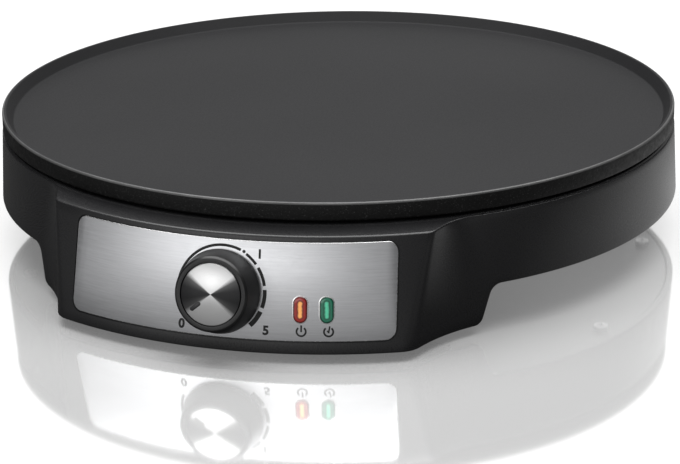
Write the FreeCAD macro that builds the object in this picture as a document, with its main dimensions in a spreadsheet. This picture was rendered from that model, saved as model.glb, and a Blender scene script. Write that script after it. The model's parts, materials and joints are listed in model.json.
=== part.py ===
"""Electric crepe maker, as a parametric document of separate pieces, in millimetres.

Every piece is built round the plate's upright axis, with the counter at zero height, the control
pod towards -Y and +X to the right of somebody who faces the knob. A last placement then moves the
pieces so that the origin is the middle of the whole object's footprint.
"""
import FreeCAD, Part
import math
import os

import Sketcher
from FreeCAD import Placement, Rotation, Vector

SIZES = {
    # overall
    "overall_height": 62.0,
    "front_overhang": 189.66,
    "rear_overhang": 162.4,
    # cooking plate
    "plate_radius": 157.5,
    "plate_band": 8.0,
    "plate_floor": 57.0,
    "plate_underside": 52.0,
    "rim_top_width": 2.2,
    "rim_foot_width": 5.0,
    "rim_round": 0.9,
    "plate_flange_width": 8.5,
    "plate_skirt_drop": 1.5,
    "plate_skirt_width": 2.5,
    "plate_boss_radius": 6.0,
    "plate_boss_bottom": 44.0,
    # heating element
    "element_ring": 95.0,
    "element_radius": 3.7,
    "element_height": 49.4,
    "element_gap_angle": 17.0,
    "element_bend": 11.0,
    "element_end": 36.0,
    "groove_clearance": 0.15,
    # housing
    "housing_top": 52.8,
    "housing_radius": 157.8,
    "skirt_bottom": 21.0,
    "skirt_radius": 159.5,
    "leg_radius": 160.4,
    "wall": 2.5,
    "deck": 2.2,
    "deck_hole": 150.8,
    "housing_bevel": 1.2,
    # pod
    "pod_bottom": 4.2,
    "pod_radius": 180.1,
    "pod_tilt": 13.5,
    "pod_side_angle": 72.0,
    "pod_top": 51.9,
    "pod_half_top": 83.2,
    "pod_half_bottom": 78.5,
    "pod_blend_top": 28.0,
    "pod_blend_bottom": 80.0,
    "pod_ledge_drop": 0.7,
    "front_wall": 3.0,
    # legs
    "leg_round": 4.5,
    "leg_fillet": 6.0,
    "leg_slope": 20.0,
    "front_leg_edge": 36.8,
    "rear_leg_middle": 144.0,
    "rear_leg_half": 12.0,
    "leg_wall_reach": 48.0,
    # control panel
    "panel_half": 71.15,
    "panel_middle": 0.85,
    "panel_bottom": 9.45,
    "panel_top": 49.0,
    "panel_corner": 4.5,
    "panel_thickness": 0.9,
    "recess_depth": 1.0,
    "recess_gap": 0.4,
    # knob
    "knob_height": 28.0,
    "knob_clearance": 0.8,
    "knob_base_radius": 17.6,
    "knob_rim_radius": 15.6,
    "knob_face": 12.2,
    "cap_radius": 12.8,
    "cap_gap": 0.3,
    "cap_thickness": 1.3,
    "shaft_radius": 3.0,
    "shaft_clearance": 0.05,
    "knob_hub_radius": 5.2,
    "pointer_angle": 139.5,
    "pointer_start": 5.5,
    "pointer_length": 5.4,
    "pointer_width": 1.7,
    # lenses
    "lens_width": 5.8,
    "lens_length": 11.0,
    "lens_height": 22.3,
    "red_lens_angle": 11.1,
    "green_lens_angle": 14.6,
    "lens_proud": 0.8,
    "lens_gap": 0.15,
    # base
    "base_thickness": 2.5,
    "base_radius": 156.2,
    "base_bottom": 21.5,
    "bay_floor": 4.8,
    "bay_rear": 129.0,
    "post_circle": 149.0,
    "post_radius": 4.0,
    "shield_post_circle": 60.0,
    "shield_height": 31.0,
    "shield_radius": 101.5,
    "shield_thickness": 0.6,
    # feet
    "foot_radius": 8.0,
    # cord entry
    "gland_height": 35.0,
    "gland_bore": 3.6,
    "gland_sleeve": 6.0,
    "gland_flange": 9.0,
}


class Size:
    """A length or an angle: its expression for the document and its present value."""

    def __init__(self, text, value):
        self.text = text
        self.value = value

    def __add__(self, other):
        other = as_size(other)
        return Size("(%s + %s)" % (self.text, other.text), self.value + other.value)

    def __sub__(self, other):
        other = as_size(other)
        return Size("(%s - %s)" % (self.text, other.text), self.value - other.value)

    def __mul__(self, other):
        other = as_size(other)
        return Size("(%s * %s)" % (self.text, other.text), self.value * other.value)

    def __truediv__(self, other):
        other = as_size(other)
        return Size("(%s / %s)" % (self.text, other.text), self.value / other.value)

    def __rsub__(self, other):
        return as_size(other) - self

    def __neg__(self):
        return Size("(0 - %s)" % self.text, -self.value)

    __radd__ = __add__
    __rmul__ = __mul__


def as_size(number):
    """Wraps a plain number."""
    if isinstance(number, Size):
        return number
    return Size(repr(float(number)), float(number))


def cosine(angle):
    angle = as_size(angle)
    return Size("cos(%s)" % angle.text, math.cos(math.radians(angle.value)))


def sine(angle):
    angle = as_size(angle)
    return Size("sin(%s)" % angle.text, math.sin(math.radians(angle.value)))


def tangent(angle):
    angle = as_size(angle)
    return Size("tan(%s)" % angle.text, math.tan(math.radians(angle.value)))


def root(size):
    return Size("sqrt(%s)" % size.text, math.sqrt(size.value))


def value(number):
    return as_size(number).value


doc = FreeCAD.newDocument("crepe_maker")
sheet = doc.addObject("Spreadsheet::Sheet", "sizes")
for row, (alias, number) in enumerate(SIZES.items(), start=1):
    sheet.set("A%d" % row, alias)
    sheet.set("B%d" % row, repr(number))
    sheet.setAlias("B%d" % row, alias)
doc.recompute()


class Cells:
    """The sheet's cells by name."""

    def __getattr__(self, alias):
        return Size("sizes." + alias, float(sheet.get(alias)))


s = Cells()
derived = []


def derive(alias, size):
    """Keeps a worked-out size in a cell of its own, so that later expressions stay short."""
    derived.append(alias)
    row_number = len(SIZES) + len(derived)
    sheet.set("A%d" % row_number, alias)
    sheet.set("B%d" % row_number, "=" + size.text.replace("sizes.", ""))
    sheet.setAlias("B%d" % row_number, alias)
    return Size("sizes." + alias, size.value)


pieces = []


def pod_radius_at(height):
    """Radius of the pod's leaning front, which is a cone about the plate's axis."""
    return s.pod_radius - (height - s.pod_bottom) * tangent(s.pod_tilt)


def control_frame(height, angle=0.0):
    """Frame on the pod's front: local Z looks out of the face and local Y up along it."""
    radius = value(pod_radius_at(height))
    lean = Rotation(Vector(1, 0, 0), 90 - value(s.pod_tilt))
    on_face = Placement(Vector(0, -radius, value(height)), lean)
    return Placement(Vector(0, 0, 0), Rotation(Vector(0, 0, 1), value(angle))) * on_face


# The whole object's footprint runs from the knob to the gland, and its middle is the origin.
axis_shift = Placement(Vector(0, value((s.front_overhang - s.rear_overhang) / 2), 0), Rotation())
upright = Placement()
knob_frame = control_frame(s.knob_height)


def piece(shape_object, name, frame=upright):
    """Registers a finished piece: its label names its file."""
    shape_object.Label = name
    shape_object.Placement = axis_shift * frame * shape_object.Placement
    pieces.append(shape_object)
    return shape_object


# Sketch helpers

def new_body(name):
    return doc.addObject("PartDesign::Body", name + "_body")


def origin_plane(body, role):
    return [feature for feature in body.Origin.OriginFeatures if feature.Role == role][0]


def new_sketch(body, name, role="XZ_Plane", height=0.0, turn=0.0):
    """Sketch on one of the body's planes, lifted along or turned about the upright axis."""
    sketch = body.newObject("Sketcher::SketchObject", name)
    sketch.AttachmentSupport = [(origin_plane(body, role), "")]
    sketch.MapMode = "FlatFace"
    sketch.AttachmentOffset = Placement(Vector(0, 0, value(height)),
                                        Rotation(Vector(0, 1, 0), value(turn)))
    if value(height):
        sketch.setExpression("AttachmentOffset.Base.z", as_size(height).text)
    return sketch


def loose_sketch(name):
    """Sketch in the XZ plane that belongs to no body."""
    sketch = doc.addObject("Sketcher::SketchObject", name)
    sketch.Placement = Placement(Vector(0, 0, 0), Rotation(Vector(1, 0, 0), 90))
    return sketch


def bind(sketch, constraint, size):
    """Adds a dimension and ties it to the sheet."""
    index = sketch.addConstraint(constraint)
    size = as_size(size)
    if "sizes." in size.text:
        sketch.setExpression("Constraints[%d]" % index, size.text)


def fix_point(sketch, geometry, end, x, y):
    bind(sketch, Sketcher.Constraint("DistanceX", -1, 1, geometry, end, value(x)), x)
    bind(sketch, Sketcher.Constraint("DistanceY", -1, 1, geometry, end, value(y)), y)


def line(sketch, start, end):
    return sketch.addGeometry(Part.LineSegment(Vector(*start, 0), Vector(*end, 0)))


def arc(sketch, centre, radius, start, end):
    """Counter-clockwise arc between two angles in degrees."""
    circle_curve = Part.Circle(Vector(*centre, 0), Vector(0, 0, 1), radius)
    return sketch.addGeometry(Part.ArcOfCircle(circle_curve, math.radians(start), math.radians(end)))


def outline(sketch, corners):
    """Closed outline through corners tied to the sheet.

    Each corner is x, y and the radius of the arc that leaves it: none for a straight edge,
    positive for an arc that turns left and negative for one that turns right.
    """
    spots = [Vector(value(x), value(y), 0) for x, y, _ in corners]
    edges = []
    for index, (_, _, radius) in enumerate(corners):
        start = spots[index]
        end = spots[(index + 1) % len(spots)]
        if radius is None:
            edges.append((line(sketch, start[:2], end[:2]), 1, 2))
            continue
        size = abs(value(radius))
        left = 1 if value(radius) > 0 else -1
        chord = end - start
        height = math.sqrt(max(size * size - chord.Length ** 2 / 4, 0.0))
        side = Vector(-chord.y, chord.x, 0).normalize() * left
        centre = (start + end) / 2 + side * height
        first, last = (start, end) if left > 0 else (end, start)
        a = math.degrees(math.atan2(first.y - centre.y, first.x - centre.x))
        b = math.degrees(math.atan2(last.y - centre.y, last.x - centre.x))
        if b < a:
            b += 360
        curve = arc(sketch, centre[:2], size, a, b)
        edges.append((curve, 1, 2) if left > 0 else (curve, 2, 1))
    for index, (edge, _, end) in enumerate(edges):
        following, start, _ = edges[(index + 1) % len(edges)]
        sketch.addConstraint(Sketcher.Constraint("Coincident", edge, end, following, start))
    for (edge, start, _), (x, y, radius) in zip(edges, corners):
        fix_point(sketch, edge, start, x, y)
        if radius is not None:
            size = radius if value(radius) > 0 else -as_size(radius)
            bind(sketch, Sketcher.Constraint("Radius", edge, value(size)), size)


def polygon(sketch, points):
    outline(sketch, [(x, y, None) for x, y in points])


def rectangle(sketch, x0, x1, y0, y1):
    polygon(sketch, [(x0, y0), (x1, y0), (x1, y1), (x0, y1)])


def circle(sketch, x, y, radius):
    centre = Vector(value(x), value(y), 0)
    index = sketch.addGeometry(Part.Circle(centre, Vector(0, 0, 1), value(radius)))
    fix_point(sketch, index, 3, x, y)
    bind(sketch, Sketcher.Constraint("Radius", index, value(radius)), radius)


def round_rectangle(sketch, x0, x1, y0, y1, radius):
    """Rectangle with four round corners."""
    outline(sketch, [
        (x0 + radius, y0, None), (x1 - radius, y0, radius),
        (x1, y0 + radius, None), (x1, y1 - radius, radius),
        (x1 - radius, y1, None), (x0 + radius, y1, radius),
        (x0, y1 - radius, None), (x0, y0 + radius, radius)])


# Feature helpers

def revolve(body, name, sketch, angle=360.0, cut=False, about="V_Axis", midplane=False):
    kind = "PartDesign::Groove" if cut else "PartDesign::Revolution"
    feature = body.newObject(kind, name)
    feature.Profile = sketch
    feature.ReferenceAxis = (sketch, [about])
    feature.Angle = value(angle)
    feature.Midplane = midplane
    return feature


def pad(body, name, sketch, length, cut=False, back=False):
    """Pad or pocket of one length; back turns it the other way."""
    feature = body.newObject("PartDesign::Pocket" if cut else "PartDesign::Pad", name)
    feature.Profile = sketch
    feature.Type = 0
    feature.Length = value(length)
    if "sizes." in as_size(length).text:
        feature.setExpression("Length", as_size(length).text)
    feature.Reversed = back
    return feature


def turned(name, points, frame=upright, label=None):
    """Body turned about its own Z from an outline of radius and height."""
    body = new_body(name)
    sketch = new_sketch(body, name + "_outline")
    polygon(sketch, points)
    revolve(body, name + "_turn", sketch)
    if label:
        piece(body, label, frame)
    return body


def around(pattern_body, name, feature, angle, count):
    """Repeats one feature about the upright axis; angle is from the first to the last."""
    pattern = pattern_body.newObject("PartDesign::PolarPattern", name)
    pattern.Originals = [feature]
    pattern.Axis = (origin_axis(pattern_body, "Z_Axis"), [""])
    pattern.Angle = angle
    pattern.Occurrences = count
    pattern_body.Tip = pattern
    return pattern


def origin_axis(body, role):
    return [feature for feature in body.Origin.OriginFeatures if feature.Role == role][0]


def on_circle(radius, angle):
    """Point at an angle that runs from the pod's middle (-Y) towards +X."""
    return radius * sine(angle), -(radius * cosine(angle))


def solid(name, shape, label, frame=upright):
    """Piece whose route bends in space, so that no sketch plane holds it."""
    feature = doc.addObject("Part::Feature", name)
    feature.Shape = shape
    return piece(feature, label, frame)


def bent_tube(points, radius, bend):
    """Tube along straight runs joined by tangent arcs of one bend radius."""
    corners = [Vector(*point) for point in points]
    edges = []
    start = corners[0]
    for before, corner, after in zip(corners, corners[1:], corners[2:]):
        to_before = (before - corner).normalize()
        to_after = (after - corner).normalize()
        half_turn = (math.pi - to_before.getAngle(to_after)) / 2
        setback = bend * math.tan(half_turn)
        arc_start = corner + to_before * setback
        arc_end = corner + to_after * setback
        inward = (to_before + to_after).normalize()
        centre = corner + inward * (bend / math.cos(half_turn))
        middle = centre - inward * bend
        edges.append(Part.LineSegment(start, arc_start).toShape())
        edges.append(Part.Arc(arc_start, middle, arc_end).toShape())
        start = arc_end
    edges.append(Part.LineSegment(start, corners[-1]).toShape())
    route = Part.Wire(edges)
    direction = (corners[1] - corners[0]).normalize()
    section = Part.Wire([Part.Circle(corners[0], direction, radius).toShape()])
    tube = route.makePipeShell([section], True, False)
    expected = math.pi * radius * radius * route.Length
    if abs(tube.Volume - expected) > 0.02 * expected:
        raise ValueError("a bent tube has the wrong volume")
    return tube


# Pod outline, shared by the housing and the base

def pod_outline(sketch, name, front, half_width, blend, skirt, back):
    """Plan of the pod: a front arc, two splayed sides, two hollow blends into the skirt, a back arc."""
    along_x = cosine(s.pod_side_angle)
    along_y = sine(s.pod_side_angle)
    half = derive(name + "_corner_x", as_size(half_width))
    corner_y = derive(name + "_corner_y", -root(front * front - half * half))
    base_x = derive(name + "_base_x", half + along_y * blend)
    base_y = derive(name + "_base_y", corner_y - along_x * blend)
    reach = skirt + blend
    lean = derive(name + "_lean", base_x * along_x + base_y * along_y)
    inside = lean * lean - base_x * base_x - base_y * base_y + reach * reach
    run = derive(name + "_run", -lean - root(inside))
    start_x = derive(name + "_start_x", half + along_x * run)
    start_y = derive(name + "_start_y", corner_y + along_y * run)
    end_x = derive(name + "_end_x", (base_x + along_x * run) * skirt / reach)
    end_y = derive(name + "_end_y", (base_y + along_y * run) * skirt / reach)
    inner_x = derive(name + "_inner_x", end_x * back / skirt)
    inner_y = derive(name + "_inner_y", end_y * back / skirt)
    outline(sketch, [
        (-half, corner_y, front), (half, corner_y, None),
        (start_x, start_y, -blend), (end_x, end_y, None),
        (inner_x, inner_y, -back), (-inner_x, inner_y, None),
        (-end_x, end_y, -blend), (-start_x, start_y, None)])


def leg_edge(body, name, angle, side):
    """Trims one end of a leg to the S-shaped edge that runs down from the skirt."""
    sketch = new_sketch(body, name, turn=angle)
    slope = 90 - s.leg_slope
    lower_x = s.leg_round * sine(slope)
    lower_z = s.pod_bottom + s.leg_round * (1 - cosine(slope))
    upper_z = s.skirt_bottom - s.leg_fillet * (1 - cosine(slope))
    upper_x = lower_x + (upper_z - lower_z) * tangent(s.leg_slope)
    top_x = upper_x + s.leg_fillet * sine(slope)
    far_x = top_x + 30
    under = as_size(-2.0)
    outline(sketch, [
        (0, under, None), (0, s.pod_bottom, s.leg_round * side),
        (lower_x * side, lower_z, None), (upper_x * side, upper_z, -(s.leg_fillet * side)),
        (top_x * side, s.skirt_bottom, None), (far_x * side, s.skirt_bottom, None),
        (far_x * side, under, None)])
    return pad(body, name + "_cut", sketch, s.pod_radius, cut=True, back=True)


def skirt_band(body, name, middle, half):
    """Stretch of skirt wall that runs down to a leg's bottom."""
    sketch = new_sketch(body, name, turn=middle - 90)
    polygon(sketch, [(s.leg_radius, s.pod_bottom), (s.skirt_radius, s.skirt_bottom),
                     (s.skirt_radius - s.wall, s.skirt_bottom), (s.leg_radius - s.wall, s.pod_bottom)])
    return revolve(body, name + "_turn", sketch, angle=half * 2, midplane=True)


# Cooking plate

def cooking_plate():
    """Cast plate with a raised rim, an edge flange, bosses and a groove for the element."""
    outer = s.plate_radius
    band_bottom = s.overall_height - s.plate_band
    flange = outer - s.plate_flange_width
    body = new_body("plate")
    sketch = new_sketch(body, "plate_outline")
    polygon(sketch, [
        (0, s.plate_underside), (flange - s.plate_skirt_width, s.plate_underside),
        (flange - s.plate_skirt_width, s.plate_underside - s.plate_skirt_drop),
        (flange, s.plate_underside - s.plate_skirt_drop), (flange, band_bottom),
        (outer - 0.5, band_bottom), (outer, band_bottom + 0.5),
        (outer, s.overall_height - s.rim_round), (outer - s.rim_round, s.overall_height),
        (outer - s.rim_top_width, s.overall_height), (outer - s.rim_foot_width, s.plate_floor),
        (0, s.plate_floor)])
    revolve(body, "plate_turn", sketch)
    groove = new_sketch(body, "plate_groove")
    circle(groove, s.element_ring, s.element_height, s.element_radius + s.groove_clearance)
    doc.recompute()
    revolve(body, "plate_groove_turn", groove, cut=True)
    screw_bosses(body, "plate_boss", s.shield_post_circle, 60.0, 3, s.plate_boss_radius,
                 s.plate_boss_bottom, 1.65, 6.5)
    screw_bosses(body, "clamp_boss", CLAMP_CIRCLE, 45.0, 4, 4.5, CLAMP_TOP, 1.65, 7.0)
    screw_bosses(body, "clip_boss", CLIP_CIRCLE, 0.0, 1, 4.0, CLIP_TOP, 1.4, 6.0)
    screw_bosses(body, "fuse_boss", FUSE_CIRCLE, 150.0, 1, 4.0, CLIP_TOP, 1.4, 6.0)
    piece(body, "cooking_plate")


def screw_bosses(body, name, circle_radius, first, count, radius, bottom, hole, depth):
    """Bosses that hang from the plate, each with a blind screw hole."""
    boss = new_sketch(body, name, "XY_Plane", height=bottom)
    drilled = new_sketch(body, name + "_hole", "XY_Plane", height=bottom)
    for index in range(count):
        x, y = on_circle(as_size(circle_radius), first + index * 360.0 / count)
        circle(boss, x, y, radius)
        circle(drilled, x, y, hole)
    pad(body, name + "_pad", boss, s.plate_underside - bottom + 0.5)
    doc.recompute()
    pad(body, name + "_drill", drilled, depth, cut=True, back=True)


CLAMP_CIRCLE = 84.5
CLAMP_TOP = s.element_height - s.element_radius - 0.1
CLAMP_SHEET = 1.2
CLIP_CIRCLE = 38.0
BULB_RADIUS = 3.0
BULB_HEIGHT = s.plate_underside - BULB_RADIUS - 0.1
CLIP_TOP = s.plate_underside - 2 * BULB_RADIUS - 0.2
CLIP_SHEET = 0.8
FUSE_CIRCLE = 45.0


# Heating element and what holds it

def element_end(side):
    """Where the element's end stands, on the ring beside the gap at the front."""
    angle = math.radians(value(s.element_gap_angle)) * side
    ring = value(s.element_ring)
    return Vector(ring * math.sin(angle), -ring * math.cos(angle), 0)


def swept(face, centre, axis, angle):
    """Solid that a face sweeps as it turns about an axis."""
    return face.revolve(Vector(*centre), Vector(*axis), angle)


def round_face(centre, normal, radius):
    edge = Part.Circle(Vector(*centre), Vector(*normal), radius).toShape()
    return Part.Face(Part.Wire([edge]))


def heating_element():
    """Tubular ring whose two ends turn down beside each other at the front."""
    radius = value(s.element_radius)
    bend = value(s.element_bend)
    gap = value(s.element_gap_angle)
    high = value(s.element_height)
    low = value(s.element_end)
    parts = []
    start = element_end(-1) + Vector(0, 0, high)
    along = Vector(math.cos(math.radians(gap)), math.sin(math.radians(-gap)), 0)
    ring = round_face(start, along, radius)
    parts.append(swept(ring, (0, 0, 0), (0, 0, 1), -(360 - 2 * gap)))
    for side in (-1, 1):
        end = element_end(side) + Vector(0, 0, high)
        onward = (element_foot(side) - element_end(side)).normalize()
        section = round_face(end, onward, radius)
        centre = end - Vector(0, 0, bend)
        axis = onward.cross(Vector(0, 0, -1))
        parts.append(swept(section, centre, axis, 90))
        foot = element_foot(side)
        parts.append(Part.makeCylinder(radius, high - bend - low, Vector(foot.x, foot.y, low)))
    tube = parts[0].fuse(parts[1:]).removeSplitter()
    if abs(tube.Volume - sum(part.Volume for part in parts)) > 1.0:
        raise ValueError("the element's runs don't meet end to end")
    solid("element", tube, "heating_element")


def element_foot(side):
    """Middle of the element's turned-down end."""
    gap = math.radians(value(s.element_gap_angle))
    end = element_end(side)
    return end + Vector(-math.cos(gap) * side, -math.sin(gap), 0) * value(s.element_bend)


def element_terminals():
    """Ceramic collar, pin and blade under each end of the element."""
    low = value(s.element_end)
    parts = []
    for side in (-1, 1):
        foot = element_foot(side)
        collar = Part.makeCylinder(4.6, 4.0, Vector(foot.x, foot.y, low - 4.0))
        pin = Part.makeCylinder(1.5, 4.5, Vector(foot.x, foot.y, low - 8.0))
        blade = Part.makeBox(0.8, 6.3, 6.0, Vector(foot.x - 0.4, foot.y - 3.15, low - 8.5 + 0.5 - 2.5))
        parts.append(collar.fuse([pin, blade]).removeSplitter())
    solid("terminals", Part.makeCompound(parts), "element_terminals")


def element_clamps():
    """Four flat straps that press the element into its groove, and their screws."""
    body_name = "clamp"
    straps = []
    screws = []
    for index in range(4):
        turn = Placement(Vector(0, 0, 0), Rotation(Vector(0, 0, 1), 45 + 90 * index))
        strap_body = doc.addObject("Part::Box", "%s_%d" % (body_name, index))
        strap_body.Length = 10
        strap_body.Width = 20
        strap_body.Height = CLAMP_SHEET
        strap_place = Placement(Vector(-5, -(CLAMP_CIRCLE + 14.5), value(CLAMP_TOP) - CLAMP_SHEET), Rotation())
        strap_body.Placement = turn * strap_place
        hole = doc.addObject("Part::Cylinder", "clamp_hole_%d" % index)
        hole.Radius = 2.1
        hole.Height = 4
        hole.Placement = turn * Placement(Vector(0, -CLAMP_CIRCLE, value(CLAMP_TOP) - 2.5), Rotation())
        strap = doc.addObject("Part::Cut", "clamp_strap_%d" % index)
        strap.Base = strap_body
        strap.Tool = hole
        straps.append(strap)
        seat = value(CLAMP_TOP) - CLAMP_SHEET
        screws.append(screw_parts("clamp_screw_%d" % index,
                                  turn * Placement(Vector(0, -CLAMP_CIRCLE, seat), Rotation()),
                                  1.65, 7.5, 3.4, 2.2))
    piece(compound("clamp_straps", straps), "element_clamps")
    piece(compound("clamp_screw_group", screws), "clamp_screws")


def compound(name, links):
    group = doc.addObject("Part::Compound", name)
    group.Links = links
    return group


def screw_parts(name, place, shank_radius, length, head_radius, head_height):
    """Pan-head screw: its head hangs below the seat and its shank runs up from it."""
    head = doc.addObject("Part::Cylinder", name + "_head")
    head.Radius = head_radius
    head.Height = head_height
    head.Placement = Placement(Vector(0, 0, -head_height), Rotation())
    shank = doc.addObject("Part::Cylinder", name + "_shank")
    shank.Radius = shank_radius
    shank.Height = length + 0.2
    shank.Placement = Placement(Vector(0, 0, -0.2), Rotation())
    slot = doc.addObject("Part::Box", name + "_slot")
    slot.Length = head_radius * 1.3
    slot.Width = 0.9
    slot.Height = head_height * 0.5
    slot.Placement = Placement(Vector(-head_radius * 0.65, -0.45, -head_height), Rotation())
    cross = doc.addObject("Part::Box", name + "_cross")
    cross.Length = 0.9
    cross.Width = head_radius * 1.3
    cross.Height = head_height * 0.5
    cross.Placement = Placement(Vector(-0.45, -head_radius * 0.65, -head_height), Rotation())
    blank = doc.addObject("Part::Fuse", name + "_blank")
    blank.Base = head
    blank.Tool = shank
    recess = doc.addObject("Part::Fuse", name + "_recess")
    recess.Base = slot
    recess.Tool = cross
    screw = doc.addObject("Part::Cut", name)
    screw.Base = blank
    screw.Tool = recess
    screw.Placement = place
    return screw


# Housing

def housing():
    """One moulding: skirt, deck, pod, four leg walls and the screw posts."""
    body = new_body("housing")
    outline = new_sketch(body, "skirt_outline")
    top = s.housing_top
    polygon(outline, [
        (s.deck_hole, top - s.deck), (s.housing_radius - s.wall, top - s.deck),
        (s.skirt_radius - s.wall, s.skirt_bottom), (s.skirt_radius, s.skirt_bottom),
        (s.housing_radius, top - s.housing_bevel), (s.housing_radius - s.housing_bevel, top),
        (s.deck_hole, top)])
    revolve(body, "skirt_turn", outline)
    skirt_band(body, "pod_band", 0.0, s.leg_wall_reach)
    for side in (-1, 1):
        skirt_band(body, "rear_band_%d" % (side + 1), s.rear_leg_middle * side, s.rear_leg_half + 9)
    pod_solid(body)
    pod_hollow(body)
    ledge(body)
    leg_edge(body, "front_edge_right", s.front_leg_edge, 1)
    leg_edge(body, "front_edge_left", -s.front_leg_edge, -1)
    for side in (-1, 1):
        leg_edge(body, "rear_edge_a%d" % (side + 1), (s.rear_leg_middle + s.rear_leg_half) * side, side)
        leg_edge(body, "rear_edge_b%d" % (side + 1), (s.rear_leg_middle - s.rear_leg_half) * side, -side)
    doc.recompute()
    housing_posts(body)
    thermostat_bosses(body)
    doc.recompute()
    shell = doc.addObject("Part::Cut", "housing_cut")
    shell.Base = body
    shell.Tool = compound("housing_openings", [panel_recess()] + face_holes("housing", 10.4, 0.2)
                          + [gland_hole()])
    piece(shell, "housing_shell")


def pod_solid(body):
    bottom = new_sketch(body, "pod_bottom_plan", "XY_Plane", height=s.pod_bottom)
    pod_outline(bottom, "outer_low", s.pod_radius, s.pod_half_bottom, s.pod_blend_bottom, s.leg_radius,
                s.housing_radius - 1.0)
    top = new_sketch(body, "pod_top_plan", "XY_Plane", height=s.pod_top)
    pod_outline(top, "outer_high", pod_radius_at(s.pod_top), s.pod_half_top, s.pod_blend_top, s.housing_radius,
                s.housing_radius - 1.0)
    loft = body.newObject("PartDesign::AdditiveLoft", "pod_loft")
    loft.Profile = bottom
    loft.Sections = [top]
    loft.Ruled = True


def pod_hollow(body):
    """Room behind the pod's walls, open below and into the housing."""
    bottom = new_sketch(body, "hollow_bottom_plan", "XY_Plane", height=s.pod_bottom)
    pod_outline(bottom, "inner_low", s.pod_radius - s.front_wall, s.pod_half_bottom - s.wall,
                s.pod_blend_bottom + s.wall, s.leg_radius - s.wall, s.deck_hole)
    roof = s.housing_top - s.deck - 1.0
    top = new_sketch(body, "hollow_top_plan", "XY_Plane", height=roof)
    pod_outline(top, "inner_high", pod_radius_at(roof) - s.front_wall, s.pod_half_top - s.wall,
                s.pod_blend_top + s.wall, s.housing_radius - s.wall, s.deck_hole)
    loft = body.newObject("PartDesign::SubtractiveLoft", "pod_hollow_loft")
    loft.Profile = bottom
    loft.Sections = [top]
    loft.Ruled = True


def ledge(body):
    """The pod's top falls a little from the housing's bevel to its own front edge."""
    outline = new_sketch(body, "ledge_outline")
    inner = s.housing_radius + 0.3
    polygon(outline, [(inner, s.pod_top), (s.pod_radius, s.pod_top - s.pod_ledge_drop * 2),
                      (s.pod_radius, s.pod_top + 3), (inner, s.pod_top + 3)])
    doc.recompute()
    revolve(body, "ledge_turn", outline, cut=True)


POST_FIRST = 67.5
POST_STEP = 45.0
POST_COUNT = 6
FRONT_POST = (74.0, 139.0)
FRONT_POST_RADIUS = 3.6


def post_angles():
    return [POST_FIRST + POST_STEP * index for index in range(POST_COUNT)]


def housing_posts(body):
    """Posts that take the base's screws: six behind the skirt, two in the pod's rear corners."""
    base_top = s.base_bottom + s.base_thickness
    posts = new_sketch(body, "posts", "XY_Plane", height=base_top)
    for angle in post_angles():
        x, y = on_circle(s.post_circle, angle)
        circle(posts, x, y, s.post_radius)
    pad(body, "posts_pad", posts, s.housing_top - s.deck - base_top - 0.4)
    doc.recompute()
    for index, angle in enumerate(post_angles()):
        rib = new_sketch(body, "post_rib_%d" % index, turn=angle)
        polygon(rib, [(-1.2, base_top), (1.2, base_top), (1.2, s.housing_top - s.deck - 0.4),
                      (-1.2, s.housing_top - s.deck - 0.4)])
        rib.AttachmentOffset = (Placement(Vector(0, 0, 0), Rotation(Vector(0, 1, 0), angle))
                                * Placement(Vector(0, 0, value(s.post_circle)), Rotation()))
        pad(body, "post_rib_%d_pad" % index, rib, s.skirt_radius - s.post_circle - 2.4)
    bay_top = s.bay_floor + s.base_thickness
    front = new_sketch(body, "front_posts", "XY_Plane", height=bay_top)
    for side in (-1, 1):
        circle(front, FRONT_POST[0] * side, -FRONT_POST[1], FRONT_POST_RADIUS)
    pad(body, "front_posts_pad", front, s.housing_top - s.deck - bay_top - 0.9)
    doc.recompute()
    drilled = new_sketch(body, "post_holes", "XY_Plane", height=base_top)
    for angle in post_angles():
        x, y = on_circle(s.post_circle, angle)
        circle(drilled, x, y, 1.3)
    pad(body, "post_holes_cut", drilled, 10, cut=True, back=True)
    front_drilled = new_sketch(body, "front_post_holes", "XY_Plane", height=bay_top)
    for side in (-1, 1):
        circle(front_drilled, FRONT_POST[0] * side, -FRONT_POST[1], 1.3)
    pad(body, "front_post_holes_cut", front_drilled, 10, cut=True, back=True)


THERMO_SCREW = 20.0
THERMO_SEAT = 5.0


def face_sketch(body, name, depth=0.0):
    """Sketch in the knob's frame, behind the pod's face by depth."""
    sketch = body.newObject("Sketcher::SketchObject", name)
    sketch.AttachmentSupport = [(origin_plane(body, "XY_Plane"), "")]
    sketch.MapMode = "FlatFace"
    sketch.AttachmentOffset = knob_frame * Placement(Vector(0, 0, -depth), Rotation())
    return sketch


def thermostat_bosses(body):
    """Two bosses behind the pod's front wall carry the thermostat."""
    bosses = face_sketch(body, "thermo_bosses", THERMO_SEAT)
    holes = face_sketch(body, "thermo_boss_holes", THERMO_SEAT)
    for side in (-1, 1):
        circle(bosses, THERMO_SCREW * side, 0, 3.8)
        circle(holes, THERMO_SCREW * side, 0, 1.25)
    pad(body, "thermo_bosses_pad", bosses, 3.2)
    doc.recompute()
    pad(body, "thermo_boss_holes_cut", holes, 2.9, cut=True, back=True)


PANEL_LEAN = math.radians(4.05)


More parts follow.
